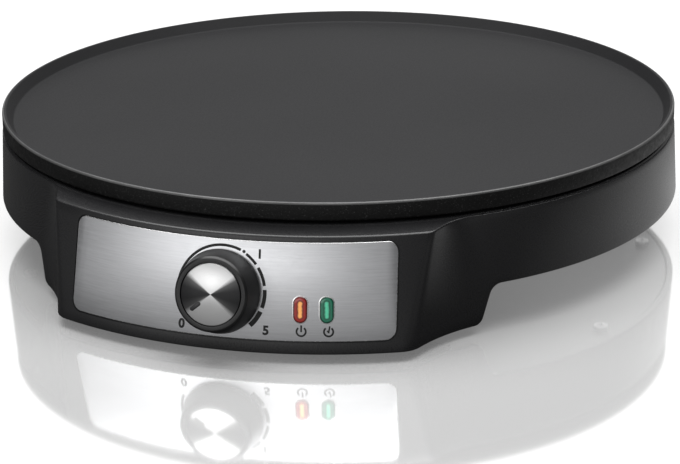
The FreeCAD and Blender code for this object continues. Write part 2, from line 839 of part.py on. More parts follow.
def panel_outline(sketch, half, low, high, corner):
    """The panel's outline: round corners, and sides that lean outwards towards the top."""
    across, up = math.sin(PANEL_LEAN), math.cos(PANEL_LEAN)
    foot = corner * math.tan((math.pi / 2 - PANEL_LEAN) / 2)
    head = corner * math.tan((math.pi / 2 + PANEL_LEAN) / 2)
    wide = half + (high - low) * math.tan(PANEL_LEAN)
    middle = s.panel_middle
    outline(sketch, [
        (middle - (half - foot), low, None), (middle + half - foot, low, corner),
        (middle + half + foot * across, low + foot * up, None),
        (middle + wide - head * across, high - head * up, corner),
        (middle + wide - head, high, None), (middle - (wide - head), high, corner),
        (middle - (wide - head * across), high - head * up, None),
        (middle - (half + foot * across), low + foot * up, corner)])


def face_prism(name, inset, half, low, high, corner):
    """Upright block with the panel's outline, for cutting with cones."""
    sketch = loose_sketch(name + "_outline")
    panel_outline(sketch, half + inset * ((1 - math.sin(PANEL_LEAN)) / math.cos(PANEL_LEAN)), low - inset,
                  high + inset, corner + inset)
    block = doc.addObject("Part::Extrusion", name + "_block")
    block.Base = sketch
    block.DirMode = "Custom"
    block.Dir = Vector(0, -1, 0)
    block.LengthFwd = 200
    block.Solid = True
    return block


def face_cone(name, offset):
    """Cone of the pod's front, moved in or out along the radius."""
    cone = doc.addObject("Part::Cone", name)
    foot = pod_radius_at(as_size(0)) + offset
    tip = pod_radius_at(s.overall_height) + offset
    for key, size in (("Radius1", foot), ("Radius2", tip), ("Height", s.overall_height)):
        setattr(cone, key, value(size))
        cone.setExpression(key, as_size(size).text)
    return cone


def panel_recess():
    """Shallow bed for the steel panel."""
    recess = doc.addObject("Part::Cut", "panel_recess")
    recess.Base = face_prism("recess", s.recess_gap, s.panel_half, s.panel_bottom, s.panel_top,
                             s.panel_corner)
    recess.Tool = face_cone("recess_floor", -s.recess_depth)
    return recess


def face_holes(name, shaft_hole, gap):
    """Round hole for the shaft's bushing and a slot for each lens."""
    shaft = doc.addObject("Part::Cylinder", name + "_shaft_hole")
    shaft.Radius = shaft_hole / 2
    shaft.Height = 8
    shaft.Placement = knob_frame * Placement(Vector(0, 0, -6), Rotation())
    holes = [shaft]
    for colour, angle in (("red", s.red_lens_angle), ("green", s.green_lens_angle)):
        sketch = doc.addObject("Sketcher::SketchObject", "%s_%s_slot" % (name, colour))
        lens_outline(sketch, gap)
        slot = doc.addObject("Part::Extrusion", "%s_%s_slot_block" % (name, colour))
        slot.Base = sketch
        slot.DirMode = "Custom"
        slot.Dir = Vector(0, 0, 1)
        slot.LengthFwd = 8
        slot.Solid = True
        slot.Placement = control_frame(s.lens_height, angle) * Placement(Vector(0, 0, -6), Rotation())
        holes.append(slot)
    return holes


def lens_outline(sketch, gap):
    half_w = s.lens_width / 2 + gap
    half_l = s.lens_length / 2 + gap
    round_rectangle(sketch, -half_w, half_w, -half_l, half_l, half_w - 0.05)


def gland_hole():
    hole = doc.addObject("Part::Cylinder", "gland_hole")
    hole.Radius = value(s.gland_sleeve) + 0.1
    hole.Height = 20
    hole.Placement = Placement(Vector(0, 145, value(s.gland_height)), Rotation(Vector(1, 0, 0), -90))
    return hole


# Panel, lenses and lamps

def control_panel():
    """Brushed steel panel bent to the pod's cone."""
    sheet_metal = doc.addObject("Part::Cut", "panel_sheet")
    sheet_metal.Base = face_cone("panel_face", 0.0 * s.wall)
    sheet_metal.Tool = face_cone("panel_back", -s.panel_thickness)
    outline = doc.addObject("Part::Common", "panel_outline")
    outline.Base = sheet_metal
    outline.Tool = face_prism("panel", 0.0 * s.wall, s.panel_half, s.panel_bottom, s.panel_top,
                              s.panel_corner)
    panel = doc.addObject("Part::Cut", "panel_cut")
    panel.Base = outline
    panel.Tool = compound("panel_holes", face_holes("panel", 10.4, 0.15))
    piece(panel, "control_panel")


LENS_FLANGE_FRONT = 3.15
LENS_FLANGE = 1.2


def lens(colour, angle):
    """Clear moulded lens: an oblong window with a flange behind the wall."""
    body = new_body(colour + "_lens")
    window = new_sketch(body, colour + "_window", "XY_Plane", height=-LENS_FLANGE_FRONT)
    lens_outline(window, 0.0)
    pad(body, colour + "_window_pad", window, s.lens_proud + LENS_FLANGE_FRONT)
    flange = new_sketch(body, colour + "_flange", "XY_Plane", height=-LENS_FLANGE_FRONT - LENS_FLANGE)
    round_rectangle(flange, -4.0, 4.0, -6.7, 6.7, 3.9)
    pad(body, colour + "_flange_pad", flange, LENS_FLANGE)
    piece(body, colour + "_lens", control_frame(s.lens_height, angle))


LAMP_RADIUS = 2.0
LAMP_DEPTH = 13.0


def lamps():
    """Two neon lamps in one holder behind the lenses."""
    middle = (s.red_lens_angle + s.green_lens_angle) / 2
    holder_frame = control_frame(s.lens_height, middle)
    holes = []
    for colour, angle in (("red", s.red_lens_angle), ("green", s.green_lens_angle)):
        frame = control_frame(s.lens_height, angle)
        turned(colour + "_lamp", [
            (0, -LAMP_DEPTH), (LAMP_RADIUS, -LAMP_DEPTH), (LAMP_RADIUS, -6.2), (1.2, -5.0), (0, -4.8)],
            frame, colour + "_lamp")
        hole = doc.addObject("Part::Cylinder", colour + "_lamp_hole")
        hole.Radius = LAMP_RADIUS + 0.05
        hole.Height = 6
        hole.Placement = frame * Placement(Vector(0, 0, -LAMP_DEPTH - 1.5), Rotation())
        holes.append(hole)
    block = doc.addObject("Part::Box", "holder_block")
    block.Length = 22
    block.Width = 12
    block.Height = 4
    block.Placement = holder_frame * Placement(Vector(-11, -6, -14), Rotation())
    holder = doc.addObject("Part::Cut", "holder_cut")
    holder.Base = block
    holder.Tool = compound("lamp_holes", holes)
    clip_legs = []
    for side in (-1, 1):
        leg = doc.addObject("Part::Box", "holder_leg_%d" % (side + 1))
        leg.Length = 1.2
        leg.Width = 8
        leg.Height = 9.2
        leg.Placement = holder_frame * Placement(Vector(side * 11.1 - 0.6, -4, -13), Rotation())
        clip_legs.append(leg)
    whole = doc.addObject("Part::MultiFuse", "lamp_holder_fuse")
    whole.Shapes = [holder] + clip_legs
    piece(whole, "lamp_holder")


# Knob group, which turns as one

def knob():
    face = s.knob_face
    floor = face - s.cap_thickness
    inner = s.cap_radius + s.cap_gap
    bore = s.shaft_radius + s.shaft_clearance
    turned("knob", [
        (0, floor), (inner, floor), (inner, face), (inner + 1.5, face), (s.knob_rim_radius, face - 1.0),
        (s.knob_base_radius, s.knob_clearance + 0.6), (s.knob_base_radius - 0.4, s.knob_clearance),
        (s.knob_base_radius - 2.0, s.knob_clearance), (inner + 0.8, floor - 1.8),
        (s.knob_hub_radius, floor - 1.8), (s.knob_hub_radius, 1.6), (bore, 1.6), (bore, floor - 1.3),
        (0, floor - 1.3)], knob_frame, "knob_body")
    cap_floor = floor + 0.02
    cap = turned("cap", [
        (0, cap_floor), (s.cap_radius, cap_floor), (s.cap_radius, face - 0.2),
        (s.cap_radius - 0.3, face + 0.1), (0, face + 0.1)])
    mark = new_sketch(cap, "mark_bed", "XY_Plane", height=face + 0.1)
    pointer_outline(mark, 0.03)
    doc.recompute()
    pad(cap, "mark_bed_cut", mark, 0.5, cut=True)
    piece(cap, "knob_cap", knob_frame)
    pointer = new_body("pointer")
    pill = new_sketch(pointer, "pointer_pill", "XY_Plane", height=face - 0.38)
    pointer_outline(pill, 0.0)
    pad(pointer, "pointer_pad", pill, 0.55)
    piece(pointer, "knob_pointer", knob_frame)
    turned("clip", [
        (s.knob_hub_radius + 0.03, 4.0), (s.knob_hub_radius + 0.7, 4.0), (s.knob_hub_radius + 0.7, 7.5),
        (s.knob_hub_radius + 0.03, 7.5)], knob_frame, "knob_clip")
    shaft_end = floor - 1.6
    shaft = turned("shaft", [
        (0, -12.0), (s.shaft_radius, -12.0), (s.shaft_radius, shaft_end - 0.4),
        (s.shaft_radius - 0.4, shaft_end), (0, shaft_end)])
    flat = new_sketch(shaft, "shaft_flat", "XY_Plane", height=shaft_end)
    rectangle(flat, -4, 4, 2.0, 4.0)
    doc.recompute()
    pad(shaft, "shaft_flat_cut", flat, 6.5, cut=True)
    piece(shaft, "thermostat_shaft", knob_frame)


def pointer_outline(sketch, gap):
    """Pill at the knob's rest mark, turned to the pointer's angle."""
    half = s.pointer_width / 2 + gap
    near = s.pointer_start + s.pointer_width / 2
    far = s.pointer_start + s.pointer_length - s.pointer_width / 2
    c = cosine(s.pointer_angle)
    n = -sine(s.pointer_angle)
    outline(sketch, [
        (near * c + half * n, near * n - half * c, None),
        (far * c + half * n, far * n - half * c, half + 0.03),
        (far * c - half * n, far * n + half * c, None),
        (near * c - half * n, near * n + half * c, half + 0.03)])


# Thermostat and its sensor

THERMO_PLATE = 1.0
THERMO_BODY_DEPTH = 17.0


def thermostat():
    """Capillary thermostat: mounting plate, bushing, body, screws."""
    plate_back = -THERMO_SEAT - THERMO_PLATE
    plate = new_body("thermo_plate")
    outline = new_sketch(plate, "thermo_plate_outline", "XY_Plane", height=plate_back)
    round_rectangle(outline, -25.0, 25.0, -9.0, 9.0, 3.0)
    circle(outline, 0, 0, 4.55)
    for side in (-1, 1):
        circle(outline, THERMO_SCREW * side, 0, 1.6)
    pad(plate, "thermo_plate_pad", outline, THERMO_PLATE)
    piece(plate, "thermostat_plate", knob_frame)
    bore = s.shaft_radius + s.shaft_clearance
    turned("bushing", [(bore, plate_back), (4.5, plate_back), (4.5, -0.5), (bore, -0.5)], knob_frame,
           "thermostat_bushing")
    body = new_body("thermo_case")
    case = new_sketch(body, "thermo_case_outline", "XY_Plane", height=plate_back - THERMO_BODY_DEPTH)
    round_rectangle(case, -16.5, 16.5, -13.0, 13.0, 2.0)
    pad(body, "thermo_case_pad", case, THERMO_BODY_DEPTH)
    well = new_sketch(body, "thermo_well", "XY_Plane", height=plate_back)
    circle(well, 0, 0, s.shaft_radius + 0.4)
    doc.recompute()
    pad(body, "thermo_well_cut", well, 7.5, cut=True)
    tabs = new_sketch(body, "thermo_tabs", "XY_Plane", height=plate_back - THERMO_BODY_DEPTH - 6.0)
    for x in (-10.0, 10.0):
        rectangle(tabs, x - 3.15, x + 3.15, 6.0, 6.8)
    pad(body, "thermo_tabs_pad", tabs, 6.5)
    piece(body, "thermostat_body", knob_frame)
    screws = []
    for side in (-1, 1):
        screws.append(screw_parts("thermo_screw_%d" % (side + 1),
                                  Placement(Vector(THERMO_SCREW * side, 0, plate_back), Rotation()),
                                  1.2, 3.6, 2.6, 1.8))
    piece(compound("thermo_screw_group", screws), "thermostat_screws", knob_frame)


BULB_HALF = 28.0
BULB_Y = -38.0


def sensor():
    """Sensing bulb under the plate, the clip that holds it there and the capillary to the thermostat."""
    height = value(BULB_HEIGHT)
    bulb = doc.addObject("Part::Cylinder", "bulb_cylinder")
    bulb.Radius = BULB_RADIUS
    bulb.Height = 2 * BULB_HALF
    bulb.Placement = Placement(Vector(-BULB_HALF + 12, BULB_Y - 8.0, height), Rotation(Vector(0, 1, 0), 90))
    piece(bulb, "sensing_bulb")
    clip_plate = doc.addObject("Part::Box", "bulb_clip_plate")
    clip_plate.Length = 9
    clip_plate.Width = 18
    clip_plate.Height = CLIP_SHEET
    clip_plate.Placement = Placement(Vector(-4.5, BULB_Y - 13, value(CLIP_TOP) - CLIP_SHEET), Rotation())
    hole = doc.addObject("Part::Cylinder", "bulb_clip_hole")
    hole.Radius = 1.7
    hole.Height = 4
    hole.Placement = Placement(Vector(0, -CLIP_CIRCLE, value(CLIP_TOP) - 2), Rotation())
    clip = doc.addObject("Part::Cut", "bulb_clip_cut")
    clip.Base = clip_plate
    clip.Tool = hole
    piece(clip, "bulb_clip")
    seat = value(CLIP_TOP) - CLIP_SHEET
    screw = screw_parts("bulb_clip_screw", Placement(Vector(0, -CLIP_CIRCLE, seat), Rotation()),
                        1.4, 6.0, 2.8, 1.8)
    piece(screw, "bulb_clip_screw")
    inlet = knob_frame.multVec(Vector(12, -8, -THERMO_SEAT - THERMO_PLATE - THERMO_BODY_DEPTH))
    behind = knob_frame.multVec(Vector(12, -8, -THERMO_SEAT - THERMO_PLATE - THERMO_BODY_DEPTH - 6))
    route = [(BULB_HALF + 12, BULB_Y - 8.0, height), (46.5, BULB_Y - 8.0, height), (49, -60, 42.5),
             (38, -131, 41.5), (24, -142, 30), tuple(behind), tuple(inlet)]
    solid("capillary", bent_tube(route, 0.9, 3.5), "capillary_tube")


def thermal_fuse():
    """Fuse held against the plate by its own clip."""
    x, y = (value(n) for n in on_circle(as_size(FUSE_CIRCLE), 150.0))
    clip_top = value(CLIP_TOP)
    body = doc.addObject("Part::Cylinder", "fuse_can")
    body.Radius = 2.9
    body.Height = 16
    body.Placement = Placement(Vector(x + 8.0, y - 8, value(BULB_HEIGHT) + 0.05), Rotation(Vector(1, 0, 0), -90))
    piece(body, "thermal_fuse")
    clip_plate = doc.addObject("Part::Box", "fuse_clip_plate")
    clip_plate.Length = 18
    clip_plate.Width = 9
    clip_plate.Height = CLIP_SHEET
    clip_plate.Placement = Placement(Vector(x - 5, y - 4.5, clip_top - CLIP_SHEET), Rotation())
    hole = doc.addObject("Part::Cylinder", "fuse_clip_hole")
    hole.Radius = 1.7
    hole.Height = 4
    hole.Placement = Placement(Vector(x, y, clip_top - 2), Rotation())
    clip = doc.addObject("Part::Cut", "fuse_clip_cut")
    clip.Base = clip_plate
    clip.Tool = hole
    piece(clip, "fuse_clip")
    seat = Placement(Vector(x, y, clip_top - CLIP_SHEET), Rotation())
    piece(screw_parts("fuse_clip_screw", seat, 1.4, 6.0, 2.8, 1.8), "fuse_clip_screw")


# Heat shield and spacers

def heat_shield():
    """Thin steel dish between the element and the base."""
    body = new_body("shield")
    low = s.shield_height
    thick = s.shield_thickness
    outline = new_sketch(body, "shield_outline")
    polygon(outline, [(0, low), (s.shield_radius, low), (s.shield_radius, low + 8),
                      (s.shield_radius - thick, low + 8), (s.shield_radius - thick, low + thick),
                      (0, low + thick)])
    revolve(body, "shield_turn", outline)
    holes = new_sketch(body, "shield_holes", "XY_Plane", height=low - 1)
    for index in range(3):
        x, y = on_circle(s.shield_post_circle, 60.0 + 120 * index)
        circle(holes, x, y, 2.3)
    for side in (-1, 1):
        foot = element_foot(side)
        circle(holes, foot.x, foot.y, 7.0)
    circle(holes, EARTH_POINT[0], EARTH_POINT[1], 1.6)
    for x in (-36.0, 0.0, 36.0):
        for y in (-8.0, 30.0):
            circle(holes, x, y, 5.0)
    doc.recompute()
    pad(body, "shield_holes_cut", holes, 4, cut=True, back=True)
    piece(body, "heat_shield")


def spacers_and_plate_screws():
    """Three tubes between shield and plate, and the long screws that clamp the stack."""
    low = value(s.shield_height + s.shield_thickness)
    high = value(s.plate_boss_bottom)
    head_seat = value(s.base_bottom) + 3.0
    tubes = []
    screws = []
    for index in range(3):
        x, y = (value(n) for n in on_circle(s.shield_post_circle, 60.0 + 120 * index))
        outer = doc.addObject("Part::Cylinder", "spacer_outer_%d" % index)
        outer.Radius = 5.0
        outer.Height = high - low
        inner = doc.addObject("Part::Cylinder", "spacer_inner_%d" % index)
        inner.Radius = 2.3
        inner.Height = high - low
        tube = doc.addObject("Part::Cut", "spacer_%d" % index)
        tube.Base = outer
        tube.Tool = inner
        tube.Placement = Placement(Vector(x, y, low), Rotation())
        tubes.append(tube)
        screws.append(screw_parts("plate_screw_%d" % index, Placement(Vector(x, y, head_seat), Rotation()),
                                  1.65, high - head_seat + 5.5, 3.5, 2.4))
    piece(compound("spacer_group", tubes), "plate_spacers")
    piece(compound("plate_screw_group", screws), "plate_screws")


EARTH_POINT = (36.0, 84.0)


def earth():
    """Ring tag and screw that bond the shield and the plate to earth."""
    x, y = EARTH_POINT
    seat = value(s.shield_height)
    tag = new_body("earth_tag")
    outline = new_sketch(tag, "earth_tag_outline", "XY_Plane", height=seat - 0.8)
    round_rectangle(outline, x - 4.5, x + 4.5, y - 4.5, y + 12.0, 4.0)
    circle(outline, x, y, 1.7)
    pad(tag, "earth_tag_pad", outline, 0.8)
    piece(tag, "earth_tag")
    screw = screw_parts("earth_screw_parts", Placement(Vector(x, y, seat - 0.8), Rotation()),
                        1.5, 5.0, 2.9, 2.0)
    piece(screw, "earth_screw")


# Base cover

def base_outline(sketch):
    """Disc of the base, cut straight across in front where the pod's bay begins."""
    half = derive("base_chord_half", root(s.base_radius * s.base_radius - s.bay_rear * s.bay_rear))
    outline(sketch, [(half, -s.bay_rear, s.base_radius), (0, s.base_radius, s.base_radius),
                     (-half, -s.bay_rear, None)])


BAY_HALF_REAR = 86.4
BAY_HALF_FRONT = 74.0


def bay_outline(sketch):
    """Floor of the pod: a front arc and two straight sides back to the bay's rear wall."""
    front = s.pod_radius - s.front_wall - 0.9
    corner_y = derive("bay_corner_y", -root(front * front - BAY_HALF_FRONT ** 2))
    outline(sketch, [
        (-BAY_HALF_FRONT, corner_y, front), (BAY_HALF_FRONT, corner_y, None),
        (BAY_HALF_REAR, -s.bay_rear, None), (-BAY_HALF_REAR, -s.bay_rear, None)])


WELL_INNER = 133.0
FOOT_CIRCLE = 146.5
FRONT_FOOT = (56.0, 153.0)


def rear_well(body, name, angle):
    """Hollow box under the base that fills a rear leg and carries its foot."""
    outer_radius = s.leg_radius - s.wall - 0.9
    sketch = new_sketch(body, name, turn=angle - 90)
    polygon(sketch, [(WELL_INNER, s.bay_floor), (outer_radius, s.bay_floor),
                     (outer_radius - 0.7, s.base_bottom + 0.5), (WELL_INNER, s.base_bottom + 0.5)])
    revolve(body, name + "_turn", sketch, angle=(s.rear_leg_half - 1) * 2, midplane=True)
    inside = new_sketch(body, name + "_inside", turn=angle - 90)
    polygon(inside, [(WELL_INNER + s.wall, s.bay_floor + s.base_thickness),
                     (outer_radius - s.wall, s.bay_floor + s.base_thickness),
                     (outer_radius - s.wall - 0.7, s.base_bottom + s.base_thickness + 1),
                     (WELL_INNER + s.wall, s.base_bottom + s.base_thickness + 1)])
    doc.recompute()
    revolve(body, name + "_inside_turn", inside, angle=(s.rear_leg_half - 2.1) * 2, cut=True,
            midplane=True)


def base_cover():
    """Lower moulding: floor of the housing, bay under the pod, rear wells, posts, vents."""
    body = new_body("base")
    floor = new_sketch(body, "base_floor", "XY_Plane", height=s.base_bottom)
    base_outline(floor)
    pad(body, "base_floor_pad", floor, s.base_thickness)
    bay = new_sketch(body, "bay_floor", "XY_Plane", height=s.bay_floor)
    bay_outline(bay)
    pad(body, "bay_floor_pad", bay, s.base_thickness)
    wall = new_sketch(body, "bay_wall", "XY_Plane", height=s.bay_floor)
    rectangle(wall, -BAY_HALF_REAR, BAY_HALF_REAR, -(s.bay_rear + s.wall), -s.bay_rear)
    pad(body, "bay_wall_pad", wall, s.base_bottom + s.base_thickness - s.bay_floor)
    gusset = new_sketch(body, "bay_joint", "XY_Plane", height=s.base_bottom)
    rectangle(gusset, -BAY_HALF_REAR, BAY_HALF_REAR, -(s.bay_rear + 1), -(s.bay_rear - 3))
    pad(body, "bay_joint_pad", gusset, s.base_thickness)
    for side in (-1, 1):
        rear_well(body, "rear_well_%d" % (side + 1), s.rear_leg_middle * side)
    base_top = s.base_bottom + s.base_thickness
    posts = new_sketch(body, "shield_posts", "XY_Plane", height=s.base_bottom)
    for index in range(3):
        x, y = on_circle(s.shield_post_circle, 60.0 + 120 * index)
        circle(posts, x, y, 6.5)
    pad(body, "shield_posts_pad", posts, s.shield_height - s.base_bottom)
    small = new_sketch(body, "small_posts", "XY_Plane", height=base_top - 0.5)
    for x, y in BLOCK_SCREWS + CLAMP_POSTS:
        circle(small, x, y, 3.2)
    pad(body, "small_posts_pad", small, 4.0 + 0.5)
    doc.recompute()
    base_holes(body)
    piece(body, "base_cover")


BLOCK_SCREWS = [(-19.0, 112.0), (19.0, 112.0)]
CLAMP_POSTS = [(-11.0, 136.0), (11.0, 136.0)]
VENT_ROWS = (-48.0, -36.0, -24.0, 24.0, 36.0, 48.0)


def base_holes(body):
    """Screw holes with their sunk heads, foot holes and the air slots."""
    through = new_sketch(body, "base_holes", "XY_Plane", height=0.0)
    for angle in post_angles():
        x, y = on_circle(s.post_circle, angle)
        circle(through, x, y, 1.7)
    for side in (-1, 1):
        circle(through, FRONT_POST[0] * side, -FRONT_POST[1], 1.7)
        circle(through, FRONT_FOOT[0] * side, -FRONT_FOOT[1], 2.6)
        x, y = on_circle(as_size(FOOT_CIRCLE), s.rear_leg_middle * side)
        circle(through, x, y, 2.6)
    for index in range(3):
        x, y = on_circle(s.shield_post_circle, 60.0 + 120 * index)
        circle(through, x, y, 2.3)
    pad(body, "base_holes_cut", through, 60, cut=True, back=True)
    heads = new_sketch(body, "head_wells", "XY_Plane", height=0.0)
    for index in range(3):
        x, y = on_circle(s.shield_post_circle, 60.0 + 120 * index)
        circle(heads, x, y, 4.2)
    doc.recompute()
    pad(body, "head_wells_cut", heads, s.base_bottom + 3.0, cut=True, back=True)
    pilots = new_sketch(body, "pilot_holes", "XY_Plane", height=s.base_bottom + 0.8)
    for x, y in BLOCK_SCREWS + CLAMP_POSTS:
        circle(pilots, x, y, 1.2)
    pad(body, "pilot_holes_cut", pilots, 8, cut=True, back=True)
    vents = new_sketch(body, "vents", "XY_Plane", height=0.0)
    for y in VENT_ROWS:
        for x0, x1 in ((-34.0, -6.0), (6.0, 34.0)):
            round_rectangle(vents, x0, x1, y - 1.6, y + 1.6, 1.5)
    pad(body, "vents_cut", vents, 40, cut=True, back=True)


def base_screws():
    """Eight screws join base and housing: six round the skirt and two in the pod."""
    screws = []
    for index, angle in enumerate(post_angles()):
        x, y = (value(n) for n in on_circle(s.post_circle, angle))
        screws.append(screw_parts("skirt_screw_%d" % index,
                                  Placement(Vector(x, y, value(s.base_bottom)), Rotation()),
                                  1.3, 11.0, 3.2, 2.0))
    for side in (-1, 1):
        place = Placement(Vector(FRONT_POST[0] * side, -FRONT_POST[1], value(s.bay_floor)), Rotation())
        screws.append(screw_parts("pod_screw_%d" % (side + 1), place, 1.3, 11.0, 3.2, 2.0))
    piece(compound("base_screw_group", screws), "base_screws")


def feet():
    """Rubber feet with a stem pressed through the base."""
    rest = s.bay_floor
    outline = [(0, 0), (s.foot_radius - 1.2, 0), (s.foot_radius, 1.2), (s.foot_radius - 0.5, rest),
               (2.5, rest), (2.5, rest + s.base_thickness), (3.6, rest + s.base_thickness + 0.3),
               (1.6, rest + s.base_thickness + 2.6), (0, rest + s.base_thickness + 2.6)]
    groups = {"front_feet": [], "rear_feet": []}
    for side in (-1, 1):
        x, y = (value(n) for n in on_circle(as_size(FOOT_CIRCLE), s.rear_leg_middle * side))
        for group, px, py in (("front_feet", FRONT_FOOT[0] * side, -FRONT_FOOT[1]), ("rear_feet", x, y)):
            body = turned("%s_%d" % (group, side + 1), outline)
            body.Placement = Placement(Vector(px, py, 0), Rotation())
            groups[group].append(body)
    for group, bodies in groups.items():
        piece(compound(group + "_pair", bodies), group)


# Cord entry, terminals and wires

def gland():
    """Flanged sleeve that lines the cord's hole; a groove round it grips the skirt."""
    wall_out = s.skirt_radius - 0.25
    half_wall = s.wall + 0.3
    length = s.rear_overhang - 146.0
    body = turned("gland", [
        (s.gland_bore, 0), (s.gland_sleeve + 1.6, 0),
        (s.gland_sleeve + 1.6, wall_out - half_wall - 146.0 - 0.8),
        (s.gland_sleeve, wall_out - half_wall - 146.0 - 0.8), (s.gland_sleeve, wall_out - 146.0 + 0.15),
        (s.gland_flange, wall_out - 146.0 + 0.15), (s.gland_flange, length - 1.4),
        (s.gland_flange - 1.2, length - 0.2), (s.gland_bore + 1.6, length), (s.gland_bore, length - 0.6)])
    place = Placement(Vector(0, 146, value(s.gland_height)), Rotation(Vector(1, 0, 0), -90))
    piece(body, "cord_gland", place)


def terminal_block():
    """Three-way block behind the gland, with its screws."""
    base_top = value(s.base_bottom + s.base_thickness)
    seat = base_top + 4.0
    block = new_body("block")
    tray = new_sketch(block, "block_tray", "XY_Plane", height=seat)
    round_rectangle(tray, -23.0, 23.0, 107.5, 116.5, 2.0)
    pad(block, "block_tray_pad", tray, 2.0)
    body = new_sketch(block, "block_body", "XY_Plane", height=seat)
    rectangle(body, -14.5, 14.5, 103.0, 121.0)
    pad(block, "block_body_pad", body, 12.0)
    doc.recompute()
    holes = new_sketch(block, "block_holes", "XY_Plane", height=seat)
    for x, y in BLOCK_SCREWS:
        circle(holes, x, y, 1.6)
    pad(block, "block_holes_cut", holes, 3, cut=True, back=True)
    wells = new_sketch(block, "block_wells", "XY_Plane", height=seat + 12.0)
    for x in (-9.5, 0.0, 9.5):
        for y in (107.5, 116.5):
            circle(wells, x, y, 2.0)
    doc.recompute()
    pad(block, "block_wells_cut", wells, 4, cut=True)
    piece(block, "terminal_block")
    flip = Rotation(Vector(1, 0, 0), 180)
    screws = [screw_parts("block_screw_%d" % index, Placement(Vector(x, y, seat + 2.0), flip),
                          1.2, 7.5, 2.4, 1.8) for index, (x, y) in enumerate(BLOCK_SCREWS)]
    piece(compound("block_screw_group", screws), "terminal_screws")


def cord_clamp():
    """Bar that would hold the cord, on its two posts."""
    seat = value(s.base_bottom + s.base_thickness) + 4.0
    bar = new_body("cord_bar")
    outline = new_sketch(bar, "cord_bar_outline", "XY_Plane", height=seat)
    round_rectangle(outline, -15.0, 15.0, 132.0, 140.0, 3.0)
    for x, y in CLAMP_POSTS:
        circle(outline, x, y, 1.6)
    pad(bar, "cord_bar_pad", outline, 3.0)
    piece(bar, "cord_clamp")
    flip = Rotation(Vector(1, 0, 0), 180)
    screws = [screw_parts("cord_screw_%d" % index, Placement(Vector(x, y, seat + 3.0), flip),
                          1.2, 8.5, 2.4, 1.8) for index, (x, y) in enumerate(CLAMP_POSTS)]
    piece(compound("cord_screw_group", screws), "cord_clamp_screws")


WIRE_RADIUS = 1.1
WIRE_BEND = 6.0


def wires():
    """Insulated leads between the terminals, in the room under the shield and in the pod."""
    low = 27.5
    block_y = 102.8
    block_z = value(s.base_bottom + s.base_thickness) + 5.6
    tab_back = -THERMO_SEAT - THERMO_PLATE - THERMO_BODY_DEPTH - 6.0
    left_tab = knob_frame.multVec(Vector(-10, 6.4, tab_back - 0.1))
    left_out = knob_frame.multVec(Vector(-10, 6.4, tab_back - 9))
    right_tab = knob_frame.multVec(Vector(10, 6.4, tab_back - 0.1))
    right_out = knob_frame.multVec(Vector(10, 6.4, tab_back - 9))
    left_foot = element_foot(-1)
    right_foot = element_foot(1)
    lamp_back = control_frame(s.lens_height, (s.red_lens_angle + s.green_lens_angle) / 2)
    lamp_in = lamp_back.multVec(Vector(0, 0, -14.1))
    lamp_out = lamp_back.multVec(Vector(0, 0, -24))
    routes = {
        "live_wire": [(-9.5, block_y, block_z), (-9.5, 84, low), (-82, 60, low), (-82, -70, low),
                      (left_out.x, -118, low), tuple(left_out), tuple(left_tab)],
        "neutral_wire": [(0, block_y, block_z), (0, 88, low), (-30, 60, low),
                         (left_foot.x - 20, 20, low), (left_foot.x - 20, left_foot.y - 0.5, low - 0.2),
                         (left_foot.x - 5.0, left_foot.y, low - 0.6),
                         (left_foot.x - 0.6, left_foot.y, low - 0.6)],
        "element_wire": [tuple(right_tab), tuple(right_out), (30, -124, low), (34, -106, low - 0.6),
                         (right_foot.x + 5.0, right_foot.y, low - 0.6),
                         (right_foot.x + 0.6, right_foot.y, low - 0.6)],
        "lamp_wire": [tuple(lamp_in), tuple(lamp_out), (42, -138, low), (52, -118, low),
                      (62, -60, low), (62, 40, low), (24, 84, low), (9.5, 91, low),
                      (9.5, block_y, block_z)],
    }
    for name, route in routes.items():
        solid(name + "_route", bent_tube(route, WIRE_RADIUS, WIRE_BEND * 0.35), name)


cooking_plate()
heating_element()
element_terminals()
element_clamps()
housing()
control_panel()
lens("red", s.red_lens_angle)
lens("green", s.green_lens_angle)
lamps()
knob()
thermostat()
sensor()
thermal_fuse()
heat_shield()
spacers_and_plate_screws()
earth()
base_cover()
base_screws()
feet()
gland()
terminal_block()
cord_clamp()
wires()
doc.recompute()

failed = [item.Name for item in doc.Objects if "Invalid" in item.State or "Error" in item.State]
if failed:
    raise ValueError("these objects failed: %s" % ", ".join(failed))
for item in pieces:
    if item.Shape.isNull() or not item.Shape.isValid() or item.Shape.Volume <= 0:
        raise ValueError("%s has no valid shape" % item.Label)

os.makedirs("parts", exist_ok=True)
for item in pieces:
    item.Shape.exportStep("parts/%s.step" % item.Label)
whole = Part.makeCompound([item.Shape for item in pieces]).BoundBox
print("%d pieces, X %.2f to %.2f, Y %.2f to %.2f, Z %.2f to %.2f" % (
    len(pieces), whole.XMin, whole.XMax, whole.YMin, whole.YMax, whole.ZMin, whole.ZMax))
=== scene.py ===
"""Dressed model of the electric crepe maker. Lengths are millimetres round the plate's axis."""
import json
import math

import bmesh
import bpy
from mathutils import Matrix, Vector


